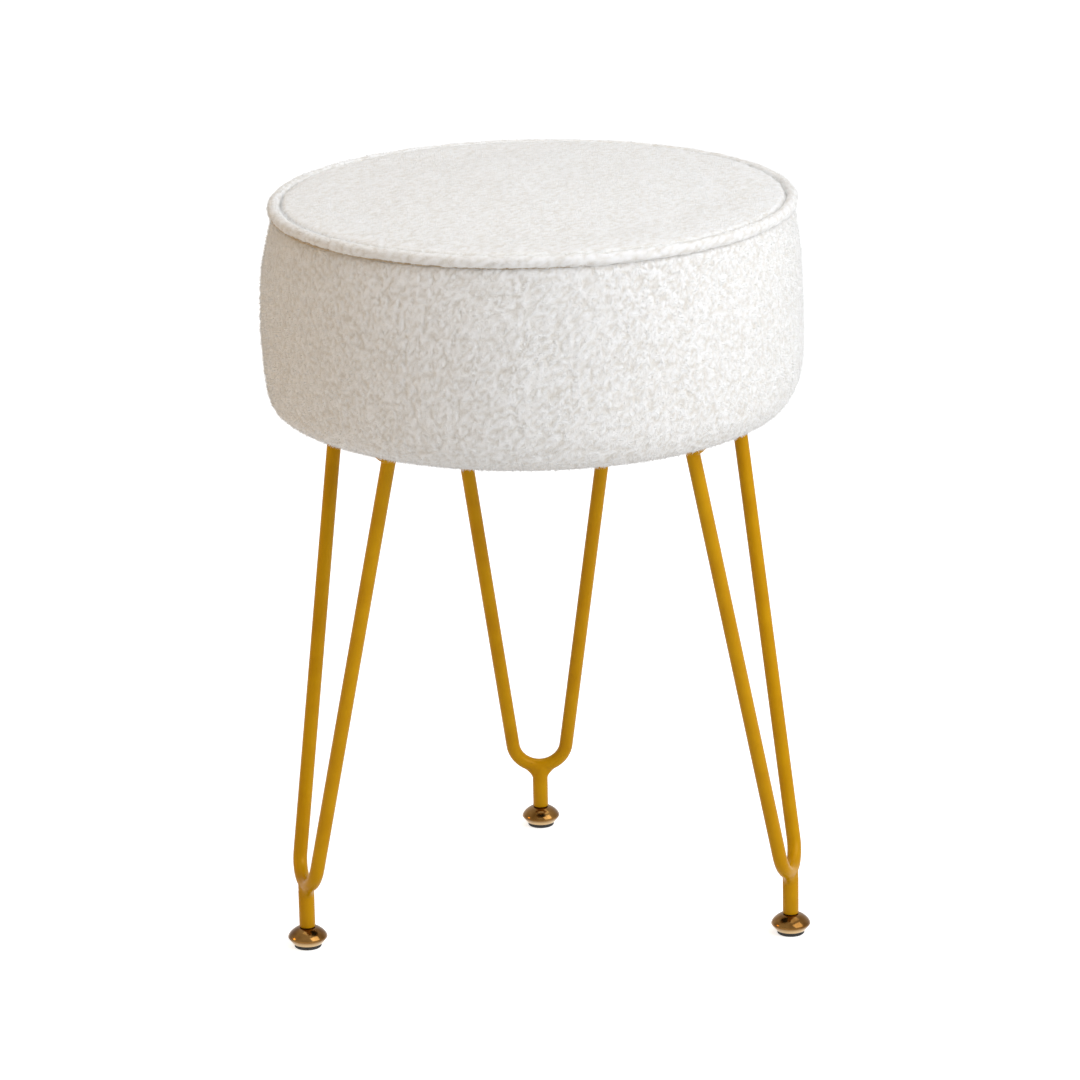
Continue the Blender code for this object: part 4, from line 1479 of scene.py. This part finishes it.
@dataclass
class Leg:
    """One leg: bent rod, stem, welds and plate.

    Sizes are in metres, in a frame that stands on the floor under the stem.
    """

    side: Side
    finishes: FinishSet
    foot_radius: float = 0.144
    rod_radius: float = 0.004
    bend_radius: float = 0.016
    spread: float = 0.0938
    lean: float = 0.0415
    rise: float = 0.2557
    bend_z: float = 0.0376
    stem_radius: float = 0.0045
    stem_bottom: float = 0.012
    stem_steps: int = 56
    saddle_z: float = 0.0333
    weld_voxel: float = 0.0005
    weld_rounds: int = 45
    weld_fillet: float = 0.0042
    weld_drop: float = 0.0095
    bore_radius: float = 0.0032
    bore_top: float = 0.0276
    plate_bottom: float = 0.2936
    plate_thickness: float = 0.003
    plate_outer: float = -0.035
    plate_inner: float = -0.077
    plate_tab: float = 0.013
    plate_inner_width: float = 0.044
    plate_margin: float = 0.0025
    plate_corner: float = 0.005
    plate_edge: float = 0.0005
    bead: tuple[tuple[float, float], ...] = (
        (-0.00025, -0.0009),
        (-0.00025, 0.0011),
        (0.0003, 0.0010),
        (0.0008, 0.0006),
        (0.0013, 0.0002),
        (0.0018, -0.0002),
    )

    @property
    def place(self) -> Matrix:
        """Where the leg's own frame stands in the world."""
        turn = Matrix.Rotation(self.side.azimuth, 4, "Z")
        return turn @ Matrix.Translation((self.foot_radius, 0.0, 0.0))

    def rod_line(self) -> list[Vector]:
        """Centre line of the rod from one top end round the bend to the other.

        Returns:
            Points in the leg's frame.
        """
        slant = math.hypot(self.lean, self.rise)
        half = self.spread / 2
        reach = math.hypot(half, slant - self.bend_radius)
        opening = math.atan2(half, slant - self.bend_radius) - math.asin(self.bend_radius / reach)
        flat = [(half, slant)]
        for k in range(33):
            angle = -opening + (2 * opening - math.pi) * k / 32
            flat.append((self.bend_radius * math.cos(angle), self.bend_radius * (1 + math.sin(angle))))
        flat.append((-half, slant))
        lean = math.atan2(self.lean, self.rise)
        up = Vector((-math.sin(lean), 0.0, math.cos(lean)))
        return [Vector((0.0, across, self.bend_z)) + up * along for across, along in flat]

    def build_rod(self) -> None:
        """Bend the rod and weld its ends to the plate."""
        line = self.rod_line()
        rings = self.rod_rings(line)
        for k, inner in ((0, 1), (len(line) - 1, len(line) - 2)):
            along = (line[k] - line[inner]).normalized()
            rings[k] = [spot + along * ((line[k].z - spot.z) / along.z) for spot in rings[k]]
        verts, faces = Workshop.loft([Workshop.moved(ring, self.place) for ring in rings])
        label = self.side.label
        rod = Workshop.piece(f"{label}_bent_rod", verts, faces, self.finishes.gold, 50.0)
        Workshop.fitted(rod, "stool", Slot.GOLD_PAINT, f"{label}_leg_rod")
        for k, (end, inner) in enumerate(((line[0], line[1]), (line[-1], line[-2]))):
            self.build_bead(f"{label}_plate_weld_{k + 1}", end, (inner - end).normalized(), 3.0 * k)

    def rod_rings(self, line: Sequence[Vector]) -> list[list[Vector]]:
        """Rings of points round a part of the rod's centre line.

        Args:
            line: The part of the centre line.

        Returns:
            One ring for each of its points.
        """
        lean = math.atan2(self.lean, self.rise)
        flat = Vector((math.cos(lean), 0.0, math.sin(lean)))
        rings = []
        for k, point in enumerate(line):
            along = (line[min(k + 1, len(line) - 1)] - line[max(k - 1, 0)]).normalized()
            across = flat.cross(along)
            turns = [2 * math.pi * j / 32 for j in range(32)]
            ways = [flat * math.cos(turn) + across * math.sin(turn) for turn in turns]
            rings.append([point + way * self.rod_radius for way in ways])
        return rings

    def build_bead(self, name: str, end: Vector, down: Vector, shift: float) -> None:
        """Lay a rippled weld bead round a rod's end under the plate.

        Args:
            name: Name of the bead.
            end: Centre of the rod's end.
            down: Direction from the end along the rod.
            shift: Start of the ripples.
        """
        rings = []
        for depth, reach in self.bead:
            ring = []
            for j in range(48):
                angle = 2 * math.pi * j / 48
                rough = noise.noise(Vector((math.cos(angle), math.sin(angle), shift)) * 2.0)
                ripple = 1 + 0.13 * math.sin(11 * angle + shift + depth * 700) + 0.1 * rough
                out = self.rod_radius + (reach * ripple if reach > 0 else reach)
                spot = end + down * max(depth, 0.0)
                way = Vector((math.cos(angle), math.sin(angle), 0.0))
                ring.append(spot + way * out + Vector((0.0, 0.0, -min(depth, 0.0))))
            rings.append(Workshop.moved(ring, self.place))
        verts, faces = Workshop.loft(rings)
        bead = Workshop.piece(name, verts, faces, self.finishes.gold, 70.0)
        Workshop.fitted(bead, "stool", Slot.GOLD_PAINT)

    def stem_ring(self, radius: float, height: float) -> list[Vector]:
        """A level ring round the stem's axis, at the leg's place."""
        return Workshop.moved(level_ring(radius, height, self.stem_steps), self.place)

    def build_stem(self) -> None:
        """Turn the stem with its bore, and weld it under the bend."""
        bore, wall, low = self.bore_radius, self.stem_radius, self.stem_bottom
        rows = [(bore, self.bore_top), (bore, low + 0.0003), (bore + 0.0003, low)]
        rows += [(wall - 0.0005, low), (wall - 0.00015, low + 0.00015), (wall, low + 0.0005)]
        rows += [(wall, self.saddle_z), (wall * 0.6, self.bend_z)]
        rings = [self.stem_ring(radius, height) for radius, height in rows]
        label = self.side.label
        stem = Workshop.piece(f"{label}_stem_tube", *Workshop.loft(rings), self.finishes.gold, 45.0)
        Workshop.fitted(stem, "stool", Slot.GOLD_PAINT, f"{label}_leg_stem")
        self.build_weld()

    def build_weld(self) -> None:
        """Flow the weld between bend and stem, smoothed so that only the corner stays filled."""
        wide, high = self.bend_radius * 0.98, self.bend_z + self.bend_radius
        line = [point for point in self.rod_line() if abs(point.y) < wide and point.z < high]
        bend = [Workshop.moved(ring, self.place) for ring in self.rod_rings(line)]
        low, span = self.saddle_z - self.weld_drop, self.bend_z - self.saddle_z + self.weld_drop
        heights = [low + span * k / 12 for k in range(13)]
        stem = [self.stem_ring(self.stem_radius, height) for height in heights]
        verts, faces = Workshop.loft(bend)
        for rings in (stem, self.weld_web()):
            more, extra = Workshop.loft(rings)
            faces += [tuple(number + len(verts) for number in face) for face in extra]
            verts += more
        weld = Workshop.piece(f"{self.side.label}_stem_weld", verts, faces, self.finishes.gold, 180.0)
        remesh = weld.modifiers.new("grown", "REMESH")
        remesh.mode = "VOXEL"
        remesh.voxel_size = self.weld_voxel
        soft = weld.modifiers.new("flowed", "SMOOTH")
        soft.factor = 0.5
        soft.iterations = self.weld_rounds
        Workshop.settled(weld)
        weld.data.materials.clear()
        weld.data.materials.append(self.finishes.gold)
        weld.data.shade_smooth()
        Workshop.fitted(weld, "stool", Slot.GOLD_PAINT)

    def weld_web(self) -> list[list[Vector]]:
        """The weld metal in both corners between stem and bend.

        Returns:
            Rings from the stem up into the bend.
        """
        rings = []
        for k in range(9):
            share = k / 8
            wide = self.stem_radius + self.weld_fillet * share**1.5
            deep = self.stem_radius * (1 - 0.25 * share)
            height = self.saddle_z - 0.0034 + 0.0052 * share
            ring = [(x * deep, y * wide, height) for x, y, _ in level_ring(1.0, 0.0, self.stem_steps)]
            rings.append(Workshop.moved(ring, self.place))
        return rings

    def plate_outline(self) -> list[Vector]:
        """Outline of the plate with rounded corners, wide over the rod's ends.

        Returns:
            Flat points in the leg's frame.
        """
        wide = self.spread / 2 + self.rod_radius + self.plate_margin
        narrow = self.plate_inner_width / 2
        tab = self.plate_outer - self.plate_tab
        half_way = [(self.plate_outer, wide), (tab, wide), (self.plate_inner, narrow)]
        corners = [(self.plate_outer, -wide), *half_way, (self.plate_inner, -narrow), (tab, -wide)]
        outline = []
        for k, corner in enumerate(corners):
            here = Vector(corner)
            back = (Vector(corners[k - 1]) - here).normalized()
            ahead = (Vector(corners[(k + 1) % len(corners)]) - here).normalized()
            half = back.angle(ahead) / 2
            reach = self.plate_corner / math.tan(half)
            centre = here + (back + ahead).normalized() * (self.plate_corner / math.sin(half))
            first = (here + back * reach - centre).normalized()
            last = (here + ahead * reach - centre).normalized()
            outline += [centre + first.slerp(last, step / 10) * self.plate_corner for step in range(11)]
        return outline

    def build_plate(self) -> None:
        """Cut the plate with softly broken edges."""
        outline = self.plate_outline()
        middle = Vector(((self.plate_outer + self.plate_inner) / 2, 0.0))
        rings = []
        edge = self.plate_edge
        top = self.plate_bottom + self.plate_thickness
        for height, inset in (
            (self.plate_bottom, 2 * edge),
            (self.plate_bottom, edge),
            (self.plate_bottom + edge * 0.3, edge * 0.3),
            (self.plate_bottom + edge, 0.0),
            (top - edge, 0.0),
            (top - edge * 0.3, edge * 0.3),
            (top, edge),
            (top, 2 * edge),
        ):
            ring = []
            for k, point in enumerate(outline):
                along = outline[(k + 1) % len(outline)] - outline[k - 1]
                inward = Vector((-along.y, along.x)).normalized()
                if inward.dot(middle - point) < 0:
                    inward = -inward
                spot = point + inward * inset
                ring.append((spot.x, spot.y, height))
            rings.append(Workshop.moved(ring, self.place))
        verts, faces = Workshop.loft(rings)
        label = self.side.label
        plate = Workshop.piece(f"{label}_leg_plate", verts, faces, self.finishes.gold, 35.0)
        Workshop.fitted(plate, "stool", Slot.GOLD_PAINT, f"{label}_mounting_plate")


@dataclass
class PlateScrews:
    """The nine button-head screws that hold the plates. Sizes in metres."""

    finishes: FinishSet
    head_radius: float = 0.0055
    head_height: float = 0.0032
    head_top: float = 0.2933
    socket_radius: float = 0.002
    socket_depth: float = 0.0018
    shank_radius: float = 0.0025
    shank_length: float = 0.0183
    places: tuple[tuple[float, float], ...] = ((-0.0556, -0.026), (-0.0556, 0.026), (-0.068, 0.0))

    def ring(self, radius: float, height: float, hexagon: bool = False) -> list[tuple[float, float, float]]:
        """A ring of the screw, round or six-sided.

        Args:
            radius: Radius, or half the width across flats.
            height: Height against the head's seat.
            hexagon: Whether it is six-sided.

        Returns:
            Points of the ring.
        """
        ring = []
        for k in range(36):
            turn = 2 * math.pi * k / 36
            flat = math.cos((turn + math.pi / 6) % (math.pi / 3) - math.pi / 6)
            reach = radius / flat if hexagon else radius
            ring.append((reach * math.cos(turn), reach * math.sin(turn), height))
        return ring

    def build(self, legs: Sequence[Leg]) -> None:
        """Make one screw and set it in every plate.

        Args:
            legs: The three legs.
        """
        low = -self.head_height
        rings = [
            self.ring(self.socket_radius, low + self.socket_depth, True),
            self.ring(self.socket_radius, low + 0.0003, True),
            self.ring(self.socket_radius + 0.0003, low, True),
        ]
        for share in (0.56, 0.70, 0.82, 0.91, 0.97, 1.0):
            dome = math.sqrt(max(1 - ((share - 0.42) / 0.58) ** 2.2, 0.0))
            rings.append(self.ring(self.head_radius * share, low * dome * 0.92 - 0.00026))
        rings.append(self.ring(self.head_radius, 0.0))
        rings.append(self.ring(self.shank_radius, 0.0))
        rings.append(self.ring(self.shank_radius, self.shank_length))
        verts, faces = Workshop.loft(rings)
        part = Workshop.piece("screw", verts, faces, self.finishes.zinc, 35.0)
        spots, nodes = [], []
        for leg in legs:
            for k, (x, y) in enumerate(self.places):
                spots.append((leg.place @ Vector((x, y, self.head_top)), leg.side.azimuth + 0.7 * k))
                nodes.append(f"{leg.side.label}_plate_screw_{k + 1}")
        made = PlacedTree("screw_set").set_out(part, spots, "plate_screws", self.finishes.zinc)
        Workshop.fitted(made, "stool", Slot.ZINC_STEEL, *nodes)


@dataclass
class LevellingFoot:
    """One levelling foot: domed cap, threaded stud and rubber pad. Sizes in metres."""

    leg: Leg
    finishes: FinishSet
    pad_radius: float = 0.0077
    pad_height: float = 0.003
    cap_radius: float = 0.01115
    cap_bottom: float = 0.0024
    cap_rim: float = 0.006
    cap_dome: float = 0.0057
    cap_throat: float = 0.0048
    dome_slope: float = 1.35
    dome_roundness: float = 0.62
    skirt_bulge: float = 1.2
    lip_radius: float = 0.0085
    stud_radius: float = 0.0029
    stud_core: float = 0.0025
    stud_length: float = 0.024
    hole_radius: float = 0.0032
    fit_gap: float = 0.0003
    tread: tuple[float, ...] = (0.0056, 0.0038, 0.0020)
    pitch: float = 0.001

    def build(self) -> None:
        """Make the foot's three pieces and hand each to its body."""
        label = self.leg.side.label
        centre = self.leg.place.translation
        metal = TurnedMetalFinish(f"{label}_cap_metal", centre=(centre.x, centre.y)).material()
        cap = self.turned(f"{label}_cap_dome", self.cap_profile(), 96, metal, 40.0)
        Workshop.fitted(cap, f"{label}_glide", Slot.BRASS_CAP, f"{label}_foot_cap")
        Workshop.fitted(self.build_stud(), f"{label}_glide", Slot.ZINC_STEEL, f"{label}_foot_stud")
        pad = self.turned(f"{label}_pad_disc", self.pad_profile(), 72, self.finishes.rubber, 40.0)
        Workshop.fitted(pad, f"{label}_pad", Slot.RUBBER_PAD, f"{label}_foot_pad")

    def turned(self, name: str, profile: Profile, steps: int, finish: Material, smooth: float) -> Piece:
        """Spin a profile at the foot's own place.

        Args:
            name: Name of the piece.
            profile: Rows of radius and height.
            steps: Steps in one turn.
            finish: Its material.
            smooth: Largest angle that is shaded smooth, in degrees.

        Returns:
            The piece.
        """
        verts, faces = Workshop.spun(profile, steps)
        return Workshop.piece(name, Workshop.moved(verts, self.leg.place), faces, finish, smooth)

    def cap_profile(self) -> Profile:
        """Section of the cap: dome, rim, tucked skirt, pad seat and stud hole."""
        peak = self.cap_rim + self.cap_dome
        rows: Profile = [(self.hole_radius, peak), (self.cap_throat - 0.0002, peak)]
        for k in range(29):
            share = (k / 28) ** 0.7
            lift = max(1 - share**self.dome_slope, 0.0) ** self.dome_roundness
            out = self.cap_throat + (self.cap_radius - self.cap_throat) * share
            rows.append((out, self.cap_rim + self.cap_dome * lift))
        for k in range(1, 15):
            down = (k / 14) ** 1.4
            out = self.lip_radius + (self.cap_radius - self.lip_radius) * (1 - down**self.skirt_bulge)
            rows.append((out, self.cap_rim - (self.cap_rim - self.cap_bottom) * down))
        seat, wide = self.pad_height + self.fit_gap, self.pad_radius + self.fit_gap
        rows += [(wide, self.cap_bottom), (wide, seat), (self.hole_radius, seat)]
        rows.append(rows[0])
        return rows

    def pad_profile(self) -> Profile:
        """Section of the pad, with a soft edge and shallow rings underneath."""
        wide, high = self.pad_radius, self.pad_height
        rows: Profile = [(0.0005, high), (wide - 0.0002, high), (wide, high - 0.0002)]
        rows += [(wide, 0.0006), (wide - 0.00015, 0.0003), (wide - 0.0004, 0.0001), (wide - 0.0006, 0.0)]
        for radius in self.tread:
            rows += [(radius + 0.0004, 0.0), (radius + 0.0002, 0.0004)]
            rows += [(radius - 0.0002, 0.0004), (radius - 0.0004, 0.0)]
        rows.append((0.0005, 0.0))
        return rows

    def build_stud(self) -> Piece:
        """Cut a right-hand thread on the stud.

        Returns:
            The stud.
        """
        steps = 24
        rows = int(self.stud_length / self.pitch * 8)
        rings = []
        for row in range(rows + 1):
            height = self.stud_length * row / rows
            ends = eased(0.0, 0.0012, self.stud_length - height) * 0.7 + 0.3
            ring = []
            for k in range(steps):
                turn = k / steps
                wave = abs(((height / self.pitch - turn) % 1.0) * 2 - 1)
                crest = min(max((wave - 0.12) / 0.76, 0.0), 1.0)
                reach = self.stud_core + (self.stud_radius - self.stud_core) * crest * ends
                angle = 2 * math.pi * turn
                level = self.pad_height + self.fit_gap + height
                ring.append((reach * math.cos(angle), reach * math.sin(angle), level))
            rings.append(Workshop.moved(ring, self.leg.place))
        verts, faces = Workshop.loft(rings)
        return Workshop.piece(f"{self.leg.side.label}_stud_thread", verts, faces, self.finishes.zinc, 45.0)


@dataclass
class Studio:
    """Camera, floor and soft light. Sizes in metres, angles in degrees."""

    target: tuple[float, float, float] = (0.0, 0.0, 0.200)
    distance: float = 2.83
    elevation: float = 17.26
    turn: float = 1.1
    roll: float = 1.2
    scale: float = 1778.0
    target_pixel: tuple[float, float] = (540.6, 577.5)
    frame_pixels: float = 1080.0
    lamp_target: tuple[float, float, float] = (0.0, 0.0, 0.3)
    room_light: float = 0.335
    floor_radius: float = 14.0
    floor_drop: float = 0.0002
    floor_paint: float = 0.86
    floor_glow: float = 0.68

    def build(self) -> None:
        """Set camera, lamps, world and floor."""
        self.build_camera()
        self.build_world()
        self.build_floor()
        self.lamp("key_softbox", (1.75, -1.45, 1.75), size=2.3, power=59.0, colour=(0.94, 0.965, 1.0))
        self.lamp("top_softbox", (0.25, 0.35, 2.4), size=1.9, power=17.0, colour=(0.95, 0.98, 1.0))
        self.lamp("warm_fill", (-2.6, -0.1, 0.9), size=0.6, power=11.6, colour=(1.0, 0.57, 0.1))

    def build_camera(self) -> None:
        """Stand the camera where the picture was taken from."""
        data = bpy.data.cameras.new("picture_camera")
        data.sensor_width = 36.0
        data.lens = self.scale * self.distance / self.frame_pixels * data.sensor_width
        data.shift_x = (self.frame_pixels / 2 - self.target_pixel[0]) / self.frame_pixels
        data.shift_y = (self.target_pixel[1] - self.frame_pixels / 2) / self.frame_pixels
        data.clip_end = 100.0
        camera = bpy.data.objects.new("picture_camera", data)
        bpy.context.scene.collection.objects.link(camera)
        turn, rise = math.radians(self.turn), math.radians(self.elevation)
        back = Vector((-math.sin(turn) * math.cos(rise), -math.cos(turn) * math.cos(rise), math.sin(rise)))
        look = back.to_track_quat("Z", "Y").to_matrix().to_4x4()
        level = Matrix.Rotation(-math.radians(self.roll), 4, "Z")
        camera.matrix_world = Matrix.Translation(Vector(self.target) + back * self.distance) @ look @ level
        bpy.context.scene.camera = camera

    def build_world(self) -> None:
        """Fill the surroundings with even light that the camera sees as white."""
        world = bpy.data.worlds.new("studio_world")
        world.use_nodes = True
        bpy.context.scene.world = world
        sketch = NodeSketch(world.node_tree)
        world.node_tree.nodes.clear()
        room = sketch.node("ShaderNodeBackground", {"Color": WHITE, "Strength": self.room_light})
        white = sketch.node("ShaderNodeBackground", {"Color": WHITE, "Strength": 1.0})
        seen = self.seen(sketch)
        mixed = sketch.node("ShaderNodeMixShader", {0: seen, 1: room.outputs[0], 2: white.outputs[0]})
        sketch.node("ShaderNodeOutputWorld", {0: mixed.outputs[0]})

    @staticmethod
    def seen(sketch: NodeSketch) -> Socket:
        """Tell rays from the camera, from gloss and through clear matter from all others.

        Args:
            sketch: Tree that the nodes are added to.

        Returns:
            A socket that is 1 for such rays and 0 for others.
        """
        path = sketch.node("ShaderNodeLightPath").outputs
        passed = sketch.math("MAXIMUM", path["Is Glossy Ray"], path["Is Transmission Ray"])
        return sketch.math("MAXIMUM", path["Is Camera Ray"], passed)

    def build_floor(self) -> None:
        """Lay a pale floor that keeps the shadow and is open from below."""
        verts = level_ring(self.floor_radius, -self.floor_drop, 96)
        mesh = bpy.data.meshes.new("studio_floor")
        mesh.from_pydata(verts, [], [tuple(range(len(verts)))])
        floor = Workshop.linked("studio_floor", mesh)
        material = bpy.data.materials.new("pale_floor")
        material.use_nodes = True
        material.node_tree.nodes.clear()
        sketch = NodeSketch(material.node_tree)
        paint = sketch.node("ShaderNodeBsdfDiffuse", {"Color": (*[self.floor_paint] * 3, 1.0)})
        strength = sketch.math("MULTIPLY", self.seen(sketch), self.floor_glow)
        glow = sketch.node("ShaderNodeEmission", {"Color": WHITE, "Strength": strength})
        lit = sketch.node("ShaderNodeAddShader", {0: paint.outputs[0], 1: glow.outputs[0]})
        open_below = sketch.node("ShaderNodeBsdfTransparent")
        back = sketch.node("ShaderNodeNewGeometry").outputs["Backfacing"]
        mixed = sketch.node("ShaderNodeMixShader", {0: back, 1: lit.outputs[0], 2: open_below.outputs[0]})
        sketch.node("ShaderNodeOutputMaterial", {0: mixed.outputs[0]})
        mesh.materials.append(material)

    def lamp(self, name: str, place: Sequence[float], size: float, power: float, colour: Colour) -> None:
        """Hang a square soft lamp that faces the seat.

        Args:
            name: Name of the lamp.
            place: Its place.
            size: Its edge length.
            power: Its power in watts.
            colour: Its colour.
        """
        data = bpy.data.lights.new(name, "AREA")
        data.shape = "SQUARE"
        data.size = size
        data.energy = power
        data.color = colour
        made = bpy.data.objects.new(name, data)
        bpy.context.scene.collection.objects.link(made)
        aim = Vector(self.lamp_target) - Vector(place)
        made.matrix_world = Matrix.Translation(place) @ aim.to_track_quat("-Z", "Y").to_matrix().to_4x4()


def main() -> None:
    """Build the footstool's looks in order."""
    logging.basicConfig(level=logging.INFO, format="%(name)s: %(message)s")
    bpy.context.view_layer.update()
    scene = bpy.context.scene
    scene.view_settings.view_transform = "Standard"
    Studio().build()
    finishes = FinishSet.mixed()
    legs = [Leg(side, finishes) for side in Side]
    for leg in legs:
        leg.build_rod()
        leg.build_stem()
        leg.build_plate()
        LevellingFoot(leg, finishes).build()
    PlateScrews(finishes).build(legs)
    Underside(finishes).build()
    seat = SeatCushion(finishes)
    cushion = seat.build()
    seat.dress(cushion)
    seat.build_welt()
    seat.build_seam_cord()
    seat.build_hem()
    LOG.info("sizes written")


if __name__ == "__main__":
    main()
